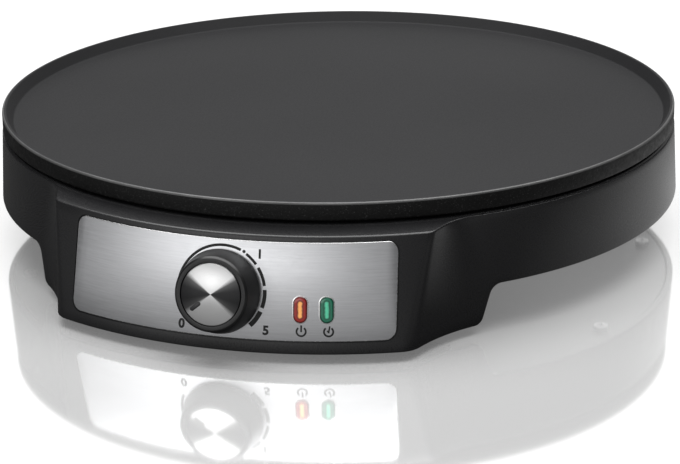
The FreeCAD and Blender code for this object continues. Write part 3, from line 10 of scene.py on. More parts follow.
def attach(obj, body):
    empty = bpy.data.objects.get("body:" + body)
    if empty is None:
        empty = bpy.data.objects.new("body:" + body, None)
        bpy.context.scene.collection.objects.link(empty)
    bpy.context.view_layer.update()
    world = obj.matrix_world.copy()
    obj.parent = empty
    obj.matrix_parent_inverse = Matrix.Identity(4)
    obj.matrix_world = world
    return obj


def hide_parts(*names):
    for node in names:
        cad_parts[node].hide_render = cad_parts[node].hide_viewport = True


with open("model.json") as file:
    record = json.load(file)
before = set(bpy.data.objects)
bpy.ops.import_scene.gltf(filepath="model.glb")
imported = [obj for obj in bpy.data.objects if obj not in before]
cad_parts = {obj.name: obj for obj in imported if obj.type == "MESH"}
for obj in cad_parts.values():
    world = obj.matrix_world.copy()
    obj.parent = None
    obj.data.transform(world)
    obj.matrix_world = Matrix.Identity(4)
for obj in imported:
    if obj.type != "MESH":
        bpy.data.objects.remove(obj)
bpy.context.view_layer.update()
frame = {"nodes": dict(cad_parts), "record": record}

MM = 0.001

# Plate and housing, with heights above the surface that the feet stand on
AXIS_SHIFT = 13.63
RIM_RADIUS = 157.5
RIM_TOP = 62.0
SKIRT_FOOT_RADIUS = 160.4
SKIRT_TOP_RADIUS = 157.8
SKIRT_BOTTOM = 21.0
HOUSING_WALL = 2.5
FOOT_ROUND = 0.5
LEDGE_FALL = 0.06
DECK_TOP = 52.8
DECK_EDGE_RADIUS = 156.0
DECK_BORE_RADIUS = 150.8

# Pod in the front of the housing
TILT = math.radians(13.5)
SIDE_ANGLE = math.radians(72)
POD_BOTTOM = 4.2
POD_TOP = 51.9
POD_RADIUS = 180.1

# Degrees round the plate's axis from the front's middle
FRONT_LEG_STOP = 36.8
SKIRT_START = 46.0
REAR_LEG_START = 132.0
REAR_LEG_STOP = 156.0

# Panel, knob and lenses, on the pod's face
PANEL_HALF = 71.15
PANEL_LOW = 9.45
PANEL_HIGH = 49.0
PANEL_CORNER = 4.5
PANEL_GAP = 0.4
PANEL_LEAN = math.radians(4.05)
PANEL_MIDDLE = 0.85
KNOB_HEIGHT = 28.0
KNOB_TOP = 12.2
LENS_HEIGHT = 22.3
LENS_RADIUS = 2.9
LENS_STRAIGHT = 2.6
RED_PLACE = 33.6
GREEN_PLACE = 44.35
SLOT_EDGE = 0.4
PRINT_LIFT = 0.03

# The spin operator turns against the sign of its angle
SPIN_SIGN = -1


def metres(point):
    """Turns a point round the plate's axis into the row's frame."""
    x, y, z = point
    return Vector((x, y + AXIS_SHIFT, z)) * MM


def pod_radius(z):
    """Radius of the pod's leaning front at a height."""
    return POD_RADIUS - (z - POD_BOTTOM) * math.tan(TILT)


def on_face(s, z, out=0.0):
    """Point on the pod's leaning front: s runs along the face from its middle."""
    radius = pod_radius(z)
    angle = s / pod_radius(KNOB_HEIGHT)
    x = (radius + out * math.cos(TILT)) * math.sin(angle)
    y = -(radius + out * math.cos(TILT)) * math.cos(angle)
    return Vector((x, y, z + out * math.sin(TILT)))


def face_frame(z, s=0.0):
    """Frame with local Z out of the face and local Y up along it."""
    angle = s / pod_radius(KNOB_HEIGHT)
    return (Matrix.Rotation(angle, 4, "Z") @ Matrix.Translation((0, -pod_radius(z), z))
            @ Matrix.Rotation(math.pi / 2 - TILT, 4, "X"))


KNOB_FRAME = face_frame(KNOB_HEIGHT)


# Mesh helpers

def clear_selection():
    """Leaves nothing selected, the carried-over pieces included."""
    bpy.ops.object.select_all(action="DESELECT")


def added(name):
    """Names the primitive that was just added, ready for edit mode."""
    piece = bpy.context.object
    piece.name = name
    piece.data.name = name
    return piece


def select_where(piece, test, kind="VERT"):
    """Selects the vertices or faces whose middle, in millimetres, passes a test."""
    bpy.ops.mesh.select_mode(type=kind)
    bpy.ops.mesh.select_all(action="DESELECT")
    work = bmesh.from_edit_mesh(piece.data)
    for part in work.verts if kind == "VERT" else work.faces:
        middle = part.co if kind == "VERT" else part.calc_center_median()
        part.select_set(bool(test(middle / MM)))
    work.select_flush_mode()
    bmesh.update_edit_mesh(piece.data)


def push(rise):
    """Extrudes what is selected straight up by a distance in millimetres."""
    bpy.ops.mesh.extrude_region_move(TRANSFORM_OT_translate={"value": (0, 0, rise * MM)})


def stand(piece, matrix):
    """Sets a finished piece in its frame and leaves its place in its mesh."""
    place = matrix.copy()
    place.translation = metres(matrix.translation)
    piece.matrix_world = place
    clear_selection()
    piece.select_set(True)
    bpy.context.view_layer.objects.active = piece
    bpy.ops.object.transform_apply(location=True, rotation=True, scale=True)


def wrap(piece, rise=1.0, base=0.0):
    """Bends a flat piece round the leaning face: X runs along it, Y up it and Z out of it."""
    for vertex in piece.data.vertices:
        flat = vertex.co / MM
        vertex.co = metres(on_face(flat.x, base + flat.y * rise, flat.z))


def dress(piece, material, nodes=(), body="housing", sharp=35.0):
    """Merges, turns the faces outwards, smooths over soft edges and hands the piece to its body."""
    clear_selection()
    piece.select_set(True)
    bpy.context.view_layer.objects.active = piece
    bpy.ops.object.mode_set(mode="EDIT")
    bpy.ops.mesh.select_all(action="SELECT")
    bpy.ops.mesh.remove_doubles(threshold=1e-6)
    bpy.ops.mesh.normals_make_consistent(inside=False)
    bpy.ops.object.mode_set(mode="OBJECT")
    bpy.ops.object.shade_smooth_by_angle(angle=math.radians(sharp))
    piece.data.materials.append(material)
    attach(piece, body)
    if nodes:
        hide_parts(*nodes)
    return piece


def fillet(points, steps=5):
    """Polyline through (x, z, radius) corners with each corner rounded."""
    flat = [Vector((p[0], p[1])) for p in points]
    out = []
    for index, point in enumerate(points):
        here = flat[index]
        radius = point[2] if len(point) > 2 else 0.0
        if radius <= 0 or index in (0, len(points) - 1):
            out.append(tuple(here))
            continue
        before = (flat[index - 1] - here)
        after = (flat[index + 1] - here)
        half = before.angle(after) / 2
        setback = min(radius / math.tan(half), before.length * 0.49, after.length * 0.49)
        start = here + before.normalized() * setback
        end = here + after.normalized() * setback
        real = setback * math.tan(half)
        inward = (before.normalized() + after.normalized()).normalized()
        centre = here + inward * (real / math.sin(half))
        a = start - centre
        b = end - centre
        turn = a.angle_signed(b)
        for step in range(steps + 1):
            angle = -turn * step / steps
            c, n = math.cos(angle), math.sin(angle)
            out.append((centre.x + a.x * c - a.y * n, centre.y + a.x * n + a.y * c))
    return out


def turned(name, profile, segments, matrix=Matrix()):
    """Turned piece: a disc pushed and scaled from each point of its profile to the next."""
    clear_selection()
    radius, height = profile[0]
    bpy.ops.mesh.primitive_circle_add(vertices=segments, radius=radius * MM, fill_type="NGON",
                                      location=(0, 0, height * MM))
    piece = added(name)
    bpy.ops.object.mode_set(mode="EDIT")
    bpy.ops.mesh.select_all(action="SELECT")
    for (before, low), (after, high) in zip(profile, profile[1:]):
        push(high - low)
        if after != before:
            share = after / before
            bpy.ops.transform.resize(value=(share, share, 1), center_override=(0, 0, high * MM))
    bpy.ops.object.mode_set(mode="OBJECT")
    bpy.ops.object.transform_apply(location=True, rotation=True, scale=True)
    stand(piece, matrix)
    return piece


def oblong(name, radius, straight, base, levels, matrix):
    """Round-ended block: a disc with its halves pulled apart, then pushed up and inset by levels."""
    clear_selection()
    count = 32
    bpy.ops.mesh.primitive_circle_add(vertices=count, radius=radius * MM, fill_type="NGON",
                                      location=(0, 0, base * MM), rotation=(0, 0, math.pi / count))
    piece = added(name)
    bpy.ops.object.transform_apply(location=True, rotation=True, scale=True)
    bpy.ops.object.mode_set(mode="EDIT")
    for side in (1, -1):
        select_where(piece, lambda p: p.y * side > 0)
        bpy.ops.transform.translate(value=(0, side * straight * MM, 0))
    bpy.ops.mesh.select_mode(type="FACE")
    bpy.ops.mesh.select_all(action="SELECT")
    for inset, rise in levels:
        push(rise)
        if inset:
            ends = straight + radius
            bpy.ops.transform.resize(value=((radius - inset) / radius, (ends - inset) / ends, 1),
                                     center_override=(0, 0, 0), constraint_axis=(True, True, False))
            radius -= inset
    bpy.ops.object.mode_set(mode="OBJECT")
    stand(piece, matrix)
    return piece


def closed_grid(columns):
    """Faces between equal columns of points that close on themselves both ways round."""
    rows = len(columns[0])
    verts = [point for column in columns for point in column]
    faces = []
    for i in range(len(columns)):
        j = (i + 1) % len(columns)
        for k in range(rows):
            m = (k + 1) % rows
            faces.append((i * rows + k, j * rows + k, j * rows + m, i * rows + m))
    return verts, faces


# Materials

class Nodes:
    """A material's nodes, with short calls for the few kinds used here."""

    def __init__(self, name):
        self.material = bpy.data.materials.new(name)
        self.material.use_nodes = True
        self.tree = self.material.node_tree
        self.shader = self.tree.nodes["Principled BSDF"]
        self.place = self.add("ShaderNodeTexCoord").outputs["Object"]

    def add(self, kind, **values):
        node = self.tree.nodes.new(kind)
        for key, value in values.items():
            setattr(node, key, value)
        return node

    def link(self, source, target):
        self.tree.links.new(source, target)

    def mapped(self, scale, vector=None):
        node = self.add("ShaderNodeMapping")
        node.inputs["Scale"].default_value = scale
        self.link(vector or self.place, node.inputs["Vector"])
        return node.outputs["Vector"]

    def noise(self, scale, detail=3.0, rough=0.5, vector=None):
        node = self.add("ShaderNodeTexNoise")
        node.inputs["Scale"].default_value = scale
        node.inputs["Detail"].default_value = detail
        node.inputs["Roughness"].default_value = rough
        self.link(vector or self.place, node.inputs["Vector"])
        return node.outputs["Fac"]

    def ramp(self, value, stops):
        node = self.add("ShaderNodeValToRGB")
        elements = node.color_ramp.elements
        while len(elements) < len(stops):
            elements.new(0.5)
        for element, (position, colour) in zip(elements, stops):
            element.position = position
            element.color = (*colour, 1.0)
        self.link(value, node.inputs["Fac"])
        return node.outputs["Color"]

    def span(self, value, low, high, start=0.3, end=0.7):
        node = self.add("ShaderNodeMapRange")
        for key, number in (("From Min", start), ("From Max", end), ("To Min", low), ("To Max", high)):
            node.inputs[key].default_value = number
        self.link(value, node.inputs["Value"])
        return node.outputs["Result"]

    def maths(self, operation, a, b=None):
        node = self.add("ShaderNodeMath", operation=operation)
        for slot, value in ((0, a), (1, b)):
            if value is None:
                continue
            if isinstance(value, (int, float)):
                node.inputs[slot].default_value = value
            else:
                self.link(value, node.inputs[slot])
        return node.outputs[0]

    def bump(self, value, strength, distance, normal=None):
        node = self.add("ShaderNodeBump")
        node.inputs["Strength"].default_value = strength
        node.inputs["Distance"].default_value = distance
        self.link(value, node.inputs["Height"])
        if normal:
            self.link(normal, node.inputs["Normal"])
        return node.outputs["Normal"]

    def set(self, **values):
        """Sets or links the shader's sockets and returns the finished material."""
        for key, value in values.items():
            socket = self.shader.inputs[key.replace("_", " ")]
            if hasattr(value, "is_linked"):
                self.link(value, socket)
            elif isinstance(value, tuple):
                socket.default_value = (*value, 1.0)
            else:
                socket.default_value = value
        return self.material


def scaled(colour, factor):
    """A colour made lighter or darker, up to white."""
    return tuple(min(1.0, c * factor) for c in colour)


def grain_group():
    """Shared grain: a broad change of colour, and a fine one of roughness and surface."""
    group = bpy.data.node_groups.new("grain", "ShaderNodeTree")
    for name, kind in (("Fine", "NodeSocketFloat"), ("Broad", "NodeSocketFloat"),
                       ("Stretch", "NodeSocketVector"), ("Dark", "NodeSocketColor"),
                       ("Light", "NodeSocketColor"), ("Smooth", "NodeSocketFloat"),
                       ("Rough", "NodeSocketFloat")):
        group.interface.new_socket(name=name, in_out="INPUT", socket_type=kind)
    for name, kind in (("Colour", "NodeSocketColor"), ("Roughness", "NodeSocketFloat"),
                       ("Height", "NodeSocketFloat")):
        group.interface.new_socket(name=name, in_out="OUTPUT", socket_type=kind)
    new, link = group.nodes.new, group.links.new
    taken, given = new("NodeGroupInput").outputs, new("NodeGroupOutput").inputs
    place = new("ShaderNodeTexCoord").outputs["Object"]
    mapping = new("ShaderNodeMapping")
    link(place, mapping.inputs["Vector"])
    link(taken["Stretch"], mapping.inputs["Scale"])
    fine, broad = new("ShaderNodeTexNoise"), new("ShaderNodeTexNoise")
    fine.inputs["Detail"].default_value = 3.0
    link(mapping.outputs["Vector"], fine.inputs["Vector"])
    link(taken["Fine"], fine.inputs["Scale"])
    link(place, broad.inputs["Vector"])
    link(taken["Broad"], broad.inputs["Scale"])
    spread, rough = new("ShaderNodeMapRange"), new("ShaderNodeMapRange")
    for node, source in ((spread, broad), (rough, fine)):
        node.inputs["From Min"].default_value = 0.3
        node.inputs["From Max"].default_value = 0.7
        link(source.outputs["Fac"], node.inputs["Value"])
    link(taken["Smooth"], rough.inputs["To Min"])
    link(taken["Rough"], rough.inputs["To Max"])
    tint = new("ShaderNodeMix")
    tint.data_type = "RGBA"
    link(spread.outputs["Result"], tint.inputs[0])
    link(taken["Dark"], tint.inputs[6])
    link(taken["Light"], tint.inputs[7])
    link(tint.outputs[2], given["Colour"])
    link(rough.outputs["Result"], given["Roughness"])
    link(fine.outputs["Fac"], given["Height"])
    return group


GRAIN = grain_group()


def plain_finish(name, colour, rough=(0.4, 0.6), metallic=0.0, grain=900.0, spread=0.2,
                 stretch=(1, 1, 1), bump=0.1, depth=0.0002):
    """Moulded, rolled or drawn stuff: grain in its colour, its roughness and its surface."""
    n = Nodes(name)
    node = n.add("ShaderNodeGroup", node_tree=GRAIN)
    values = {"Fine": grain, "Broad": grain / 25, "Stretch": stretch, "Smooth": rough[0], "Rough": rough[1],
              "Dark": (*scaled(colour, 1 - spread), 1), "Light": (*scaled(colour, 1 + spread), 1)}
    for key, value in values.items():
        node.inputs[key].default_value = value
    return n.set(Base_Color=node.outputs["Colour"], Roughness=node.outputs["Roughness"], Metallic=metallic,
                 Normal=n.bump(node.outputs["Height"], bump, depth))


def panel_edge():
    """Sheared and eased edge of the steel, brighter than its face."""
    return plain_finish("panel_edge", (0.80, 0.80, 0.80), (0.22, 0.30), 1.0, 900.0, 0.04)


def painted_rim_highlight():
    """The rim's outer edge, painted paler than the coating as a painted highlight along the edge."""
    return plain_finish("rim_painted_highlight", (0.085, 0.085, 0.085), (0.3, 0.42), grain=1500.0, spread=0.25)


def knob_satin():
    """Black of the knob, a little darker and rougher than the housing."""
    return plain_finish("knob_satin", (0.009, 0.009, 0.0095), (0.28, 0.40), grain=2400.0, spread=0.1,
                        bump=0.08, depth=0.0001)


def axis_distance(n, centre, axis):
    """Distance from an axis, and the direction round it, from object coordinates."""
    offset = n.add("ShaderNodeVectorMath", operation="SUBTRACT")
    n.link(n.place, offset.inputs[0])
    offset.inputs[1].default_value = centre
    turn = n.add("ShaderNodeVectorMath", operation="CROSS_PRODUCT")
    turn.inputs[0].default_value = axis
    n.link(offset.outputs[0], turn.inputs[1])
    size = n.add("ShaderNodeVectorMath", operation="LENGTH")
    n.link(turn.outputs[0], size.inputs[0])
    unit = n.add("ShaderNodeVectorMath", operation="NORMALIZE")
    n.link(turn.outputs[0], unit.inputs[0])
    return size.outputs["Value"], unit.outputs[0]


def along_axis(n, centre, axis):
    """Signed distance along an axis, from object coordinates."""
    offset = n.add("ShaderNodeVectorMath", operation="SUBTRACT")
    n.link(n.place, offset.inputs[0])
    offset.inputs[1].default_value = centre
    dot = n.add("ShaderNodeVectorMath", operation="DOT_PRODUCT")
    dot.inputs[1].default_value = axis
    n.link(offset.outputs[0], dot.inputs[0])
    return dot.outputs["Value"]


def across_and_up(n, centre, matrix):
    """Signed distances from a centre along a face frame's own X and Y."""
    turn = matrix.to_3x3()
    return [along_axis(n, centre, (turn @ Vector(axis)).normalized()) for axis in ((1, 0, 0), (0, 1, 0))]


def combine(n, value):
    """A vector whose X is the value, for noise along one line."""
    node = n.add("ShaderNodeCombineXYZ")
    n.link(value, node.inputs["X"])
    return node.outputs["Vector"]


def cast_surface():
    """Dark coated casting: a matte floor with fine speckle and a faint turned trace."""
    n = Nodes("cooking_coating")
    far, _ = axis_distance(n, metres((0, 0, 0)), (0, 0, 1))
    rings = n.noise(1.0, 2.0, 0.5, n.mapped((900, 900, 900), vector=combine(n, far)))
    speck = n.noise(1400.0, 2.0, 0.7)
    broad = n.noise(7.0, 2.0, 0.5)
    colour = n.ramp(broad, [(0.25, (0.0165, 0.0165, 0.0175)), (0.75, (0.021, 0.021, 0.022))])
    rough = n.span(speck, 0.48, 0.60)
    bumped = n.bump(speck, 0.12, 0.0002)
    bumped = n.bump(rings, 0.03, 0.0002, bumped)
    return n.set(Base_Color=colour, Roughness=rough, Normal=bumped, Specular_IOR_Level=0.14)


def cast_band():
    """The plate's side, rougher than its floor, with pale specks of bare metal."""
    n = Nodes("cast_side")
    coarse = n.noise(500.0, 4.0, 0.65)
    speck = n.noise(1900.0, 1.0, 0.5)
    colour = n.ramp(speck, [(0.62, (0.004, 0.004, 0.004)), (0.80, (0.07, 0.07, 0.07))])
    return n.set(Base_Color=colour, Roughness=n.span(coarse, 0.36, 0.58),
                 Normal=n.bump(coarse, 0.4, 0.0004), Specular_IOR_Level=0.28)


def housing_plastic():
    """Black satin moulding with a fine spark texture."""
    n = Nodes("housing_satin")
    fine = n.noise(2600.0, 2.0, 0.6)
    broad = n.noise(30.0, 2.0, 0.5)
    colour = n.ramp(broad, [(0.3, (0.014, 0.014, 0.015)), (0.7, (0.018, 0.018, 0.019))])
    return n.set(Base_Color=colour, Roughness=n.span(fine, 0.24, 0.33), Normal=n.bump(fine, 0.08, 0.0001),
                 Specular_IOR_Level=0.5)


def brushed_panel():
    """Steel brushed sideways along the face."""
    n = Nodes("panel_brushed")
    _, along = axis_distance(n, metres((0, 0, 0)), (0, 0, 1))
    hair = n.noise(1.0, 4.0, 0.7, n.mapped((190, 190, 3600)))
    streak = n.noise(1.0, 3.0, 0.6, n.mapped((45, 45, 1500)))
    both = n.maths("ADD", n.maths("MULTIPLY", hair, 0.5), n.maths("MULTIPLY", streak, 0.5))
    colour = n.ramp(both, [(0.35, (0.63, 0.635, 0.65)), (0.65, (0.74, 0.745, 0.765))])
    n.link(along, n.shader.inputs["Tangent"])
    return n.set(Base_Color=colour, Metallic=1.0, Roughness=n.span(hair, 0.30, 0.42),
                 Anisotropic=0.55, Normal=n.bump(hair, 0.12, 0.0001))


def turned_cap():
    """Aluminium turned in fine circles, with painted highlight and painted shade in wedges: pale above and
    below the centre, dark to either side.
    """
    n = Nodes("cap_turned")
    centre = metres(KNOB_FRAME @ Vector((0, 0, KNOB_TOP)))
    axis = (KNOB_FRAME.to_3x3() @ Vector((0, 0, 1))).normalized()
    far, round_about = axis_distance(n, centre, axis)
    rings = n.noise(1.0, 3.0, 0.7, n.mapped((6500, 1, 1), vector=combine(n, far)))
    across, upward = across_and_up(n, centre, KNOB_FRAME)
    # Painted highlight and painted shade: the colour turns pale in wedges above and below the centre and dark
    # in wedges to either side, mixed with the grain of the turned rings.
    angle = n.maths("ARCTAN2", upward, across)
    painted_sheen_fans = n.maths("COSINE", n.maths("MULTIPLY", angle, 2.0))
    edge = n.maths("ADD", painted_sheen_fans, n.maths("MULTIPLY", n.maths("SUBTRACT", rings, 0.5), 0.35))
    colour = n.ramp(n.span(edge, 0.0, 1.0, -0.9, 0.9),
                    [(0.0, (0.70, 0.70, 0.70)), (0.55, (0.66, 0.66, 0.66)), (0.74, (0.10, 0.10, 0.10)),
                     (1.0, (0.035, 0.035, 0.036))])
    n.link(round_about, n.shader.inputs["Tangent"])
    return n.set(Base_Color=colour, Metallic=1.0, Roughness=n.span(rings, 0.26, 0.36),
                 Anisotropic=0.6, Normal=n.bump(rings, 0.1, 0.0001))


def lens_finish(name, s_middle, rim_colour, core_colour, glow):
    """Tinted lens, deeper at its rim and lit at its core by the lamp behind it."""
    n = Nodes(name)
    matrix = face_frame(LENS_HEIGHT, s_middle)
    across, upward = across_and_up(n, metres(matrix.translation), matrix)
    past = n.maths("MAXIMUM", n.maths("SUBTRACT", n.maths("ABSOLUTE", upward), LENS_STRAIGHT * MM), 0.0)
    distance = n.maths("SQRT", n.maths("ADD", n.maths("MULTIPLY", across, across),
                                       n.maths("MULTIPLY", past, past)))
    broad = n.noise(900.0, 2.0, 0.5)
    shade = n.maths("ADD", distance, n.maths("MULTIPLY", n.maths("SUBTRACT", broad, 0.5), 0.0008))
    ramp = n.ramp(n.span(shade, 0.0, 1.0, 0.0, LENS_RADIUS * MM),
                  [(0.0, core_colour), (0.20, scaled(core_colour, 0.75)), (0.36, rim_colour),
                   (0.66, scaled(rim_colour, 2.3)), (0.88, scaled(rim_colour, 0.6))])
    return n.set(Base_Color=ramp, Roughness=0.12, Emission_Color=ramp, Emission_Strength=glow,
                 Coat_Weight=0.6, Coat_Roughness=0.04)


# Camera, floor and light

def build_camera():
    """Long lens that looks down on the plate from the front right."""
    camera_data = bpy.data.cameras.new("camera")
    camera_data.lens = 122.48
    camera_data.sensor_width = 36.0
    camera_data.clip_start = 0.05
    camera = bpy.data.objects.new("camera", camera_data)
    bpy.context.scene.collection.objects.link(camera)
    place = Vector((297.8, -1007.4, 371.6))
    level = (Vector((0, 0, RIM_TOP)) - place)
    heading = math.atan2(level.y, level.x)
    down = math.radians(19.84)
    ahead = Vector((math.cos(heading) * math.cos(down), math.sin(heading) * math.cos(down),
                    -math.sin(down)))
    right = ahead.cross(Vector((0, 0, 1))).normalized()
    up = right.cross(ahead).normalized()
    roll = math.radians(0.81)
    up_rolled = up * math.cos(roll) + right * math.sin(roll)
    right_rolled = right * math.cos(roll) - up * math.sin(roll)
    turn = Matrix((right_rolled, up_rolled, -ahead)).transposed().to_4x4()
    camera.matrix_world = Matrix.Translation(metres(place)) @ turn
    bpy.context.scene.camera = camera


def soft_light(name, place, target, width, height, watts):
    """Rectangular lamp in metres, turned to a target."""
    data = bpy.data.lights.new(name, "AREA")
    data.shape = "RECTANGLE"
    data.size = width
    data.size_y = height
    data.energy = watts
    light = bpy.data.objects.new(name, data)
    bpy.context.scene.collection.objects.link(light)
    spot = Vector(place)
    light.location = spot
    light.rotation_euler = (Vector(target) - spot).to_track_quat("-Z", "Y").to_euler()


def build_world():
    """White behind the object; in reflections, softboxes in front, behind and to the right."""
    world = bpy.data.worlds.new("studio")
    bpy.context.scene.world = world
    world.use_nodes = True
    tree = world.node_tree

    def add(kind, **values):
        node = tree.nodes.new(kind)
        for key, value in values.items():
            setattr(node, key, value)
        return node

    direction = add("ShaderNodeSeparateXYZ")
    tree.links.new(add("ShaderNodeTexCoord").outputs["Generated"], direction.inputs[0])
    turn = add("ShaderNodeMath", operation="ARCTAN2")
    tree.links.new(direction.outputs["Y"], turn.inputs[0])
    tree.links.new(direction.outputs["X"], turn.inputs[1])
    part = add("ShaderNodeMapRange")
    part.inputs["From Min"].default_value = -math.pi
    part.inputs["From Max"].default_value = math.pi
    tree.links.new(turn.outputs[0], part.inputs["Value"])
    boxes = add("ShaderNodeValToRGB")
    # Degrees from +X round the studio, and the level there
    stops = ((-180, 0.02), (-160, 0.03), (-142, 0.55), (-128, 0.95), (-95, 0.62), (-62, 0.40),
             (-48, 0.05), (-30, 0.02), (36, 0.02), (60, 0.30), (88, 0.36), (98, 0.52),
             (117, 0.52), (127, 0.03), (180, 0.02))
    elements = boxes.color_ramp.elements
    while len(elements) < len(stops):
        elements.new(0.5)
    for element, (degrees, level) in zip(elements, stops):
        element.position = (degrees + 180) / 360
        element.color = (level, level, level, 1)
    tree.links.new(part.outputs["Result"], boxes.inputs["Fac"])
    height = add("ShaderNodeMapRange")
    height.interpolation_type = "SMOOTHSTEP"
    height.inputs["From Min"].default_value = 0.55
    height.inputs["From Max"].default_value = 0.85
    tree.links.new(direction.outputs["Z"], height.inputs["Value"])
    above = add("ShaderNodeMix", data_type="RGBA")
    tree.links.new(height.outputs["Result"], above.inputs[0])
    tree.links.new(boxes.outputs["Color"], above.inputs[6])
    above.inputs[7].default_value = (0.45, 0.45, 0.45, 1)
    seen = add("ShaderNodeMix", data_type="RGBA")
    seen.inputs[7].default_value = (1, 1, 1, 1)
    tree.links.new(above.outputs[2], seen.inputs[6])
    tree.links.new(add("ShaderNodeLightPath").outputs["Is Camera Ray"], seen.inputs[0])
    tree.links.new(seen.outputs[2], tree.nodes["Background"].inputs["Color"])


def build_floor():
    """Pale polished floor: white to the camera, with a faint reflection of the object."""
    clear_selection()
    bpy.ops.mesh.primitive_plane_add(size=16)
    floor = added("floor")
    n = Nodes("floor_white")
    n.tree.nodes.remove(n.shader)
    faint = n.noise(2.0, 2.0, 0.5)
    glow = n.add("ShaderNodeEmission")
    camera_ray = n.add("ShaderNodeLightPath").outputs["Is Camera Ray"]
    glow.inputs["Strength"].default_value = 0.15
    matt = n.add("ShaderNodeBsdfDiffuse")
    n.link(n.ramp(faint, [(0.2, (0.30, 0.30, 0.30)), (0.8, (0.32, 0.32, 0.32))]), matt.inputs["Color"])
    polish = n.add("ShaderNodeBsdfGlossy")
    polish.inputs["Color"].default_value = (1.0, 1.0, 1.0, 1)
    polish.inputs["Roughness"].default_value = 0.07
    first = n.add("ShaderNodeAddShader")
    second = n.add("ShaderNodeAddShader")
    n.link(glow.outputs[0], first.inputs[0])
    n.link(matt.outputs[0], first.inputs[1])
    n.link(first.outputs[0], second.inputs[0])
    n.link(polish.outputs[0], second.inputs[1])
    # What a reflection sees: a dull floor, lit right of the object and in front of it
    dull = n.add("ShaderNodeBsdfDiffuse")
    dull.inputs["Color"].default_value = (0.06, 0.06, 0.06, 1)
    lit = n.add("ShaderNodeEmission")
    near = n.add("ShaderNodeVectorMath", operation="DISTANCE")
    near.inputs[1].default_value = (0.215, 0.068, 0.0)
    n.link(n.place, near.inputs[0])
    right_patch = n.span(near.outputs["Value"], 0.72, 0.0, 0.05, 0.20)
    axes = n.add("ShaderNodeSeparateXYZ")
    n.link(n.place, axes.inputs[0])
    front_patch = n.span(axes.outputs["Y"], 0.30, 0.0, -0.26, -0.17)
    n.link(n.maths("ADD", right_patch, front_patch), lit.inputs["Strength"])
    plain = n.add("ShaderNodeAddShader")
    n.link(dull.outputs[0], plain.inputs[0])
    n.link(lit.outputs[0], plain.inputs[1])
    seen = n.add("ShaderNodeMixShader")
    n.link(camera_ray, seen.inputs[0])
    n.link(plain.outputs[0], seen.inputs[1])
    n.link(second.outputs[0], seen.inputs[2])
    n.link(seen.outputs[0], n.tree.nodes["Material Output"].inputs["Surface"])
    floor.data.materials.append(n.material)


def build_studio():
    """Surroundings, lamps and floor."""
    build_world()
    soft_light("overhead", (0.0, 0.15, 1.3), (0, 0, 0), 1.8, 1.4, 31)
    soft_light("front_box", (-0.35, -1.6, 0.45), (0.0, -0.15, 0.03), 1.3, 0.4, 2)
    build_floor()
    scene = bpy.context.scene
    scene.view_settings.view_transform = "Standard"


# Pieces

def build_plate():
    """The casting, from its underside round the flange, the band and the rim to the well."""
    profile = fillet([
        (146.5, 52.0), (146.5, 50.5, 0.3), (149.0, 50.5, 0.3), (149.0, 54.0, 0), (RIM_RADIUS, 54.0, 0.9),
        (RIM_RADIUS, RIM_TOP, 0.9), (155.6, RIM_TOP, 0.3), (152.4, 57.0, 1.2), (149.0, 57.0)], 6)
    plate = dress(turned("cooking_plate_cast", profile, 320), cast_surface(), ["cooking_plate"],
                  sharp=50)
    plate.data.materials.append(cast_band())
    # Faces on the rim's outer rounding get a paler colour as a painted highlight; faces on the side get the
    # cast band.
    plate.data.materials.append(painted_rim_highlight())
    for face in plate.data.polygons:
        middle = face.center / MM
        radius = math.hypot(middle.x, middle.y - AXIS_SHIFT)
        if radius > RIM_RADIUS - 0.9 and middle.z > RIM_TOP - 0.8:
            face.material_index = 2
        elif radius > RIM_RADIUS - 0.6:
            face.material_index = 1


def pod_plan(front, half, blend, skirt, counts, soft):
    """Right half of the pod's plan, from the middle of the front to the skirt's tangent point."""
    along = Vector((math.cos(SIDE_ANGLE), math.sin(SIDE_ANGLE)))
    outward = Vector((along.y, -along.x))
    corner = Vector((half, -math.sqrt(front ** 2 - half ** 2)))
    base = corner + outward * blend
    lean = base.dot(along)
    run = -lean - math.sqrt(lean * lean - base.dot(base) + (skirt + blend) ** 2)
    centre = base + along * run
    start = corner + along * run
    end = centre * (skirt / (skirt + blend))
    arc_count, corner_count, side_count, blend_count = counts
    corner_angle = math.asin(half / front)
    stop = corner_angle - soft / front
    points = []
    for index in range(arc_count + 1):
        angle = stop * index / arc_count
        points.append(Vector((front * math.sin(angle), -front * math.cos(angle))))
    first = points[-1]
    second = corner + along * soft
    for index in range(1, corner_count):
        t = index / corner_count
        points.append(first * (1 - t) ** 2 + corner * 2 * t * (1 - t) + second * t * t)
    for index in range(side_count + 1):
        points.append(second.lerp(start, index / side_count))
    a = start - centre
    b = end - centre
    turn = math.atan2(a.x * b.y - a.y * b.x, a.dot(b))
    for index in range(1, blend_count + 1):
        angle = turn * index / blend_count
        c, n = math.cos(angle), math.sin(angle)
        points.append(centre + Vector((a.x * c - a.y * n, a.x * n + a.y * c)))
    return points


def leg_curve(across):
    """Height of a leg's edge at a distance past its foot line."""
    lean = math.radians(20)
    slope = math.pi / 2 - lean
    round_low = 4.5
    round_high = 6.0
    low_x = round_low * math.sin(slope)
    low_z = POD_BOTTOM + round_low * (1 - math.cos(slope))
    high_z = SKIRT_BOTTOM - round_high * (1 - math.cos(slope))
    high_x = low_x + (high_z - low_z) * math.tan(lean)
    top_x = high_x + round_high * math.sin(slope)
    if across <= 0:
        return POD_BOTTOM
    if across < low_x:
        return POD_BOTTOM + round_low - math.sqrt(round_low ** 2 - across ** 2)
    if across < high_x:
        return low_z + (across - low_x) / math.tan(lean)
    if across < top_x:
        return SKIRT_BOTTOM - round_high + math.sqrt(max(round_high ** 2 - (top_x - across) ** 2, 0))
    return SKIRT_BOTTOM


def azimuth(point):
    """Degrees from the front's middle to a plan point."""
    return math.degrees(math.atan2(point.x, -point.y))


def ring_point(radius, degrees):
    """Plan point on a circle round the plate's axis."""
    angle = math.radians(degrees)
    return Vector((radius * math.sin(angle), -radius * math.cos(angle)))


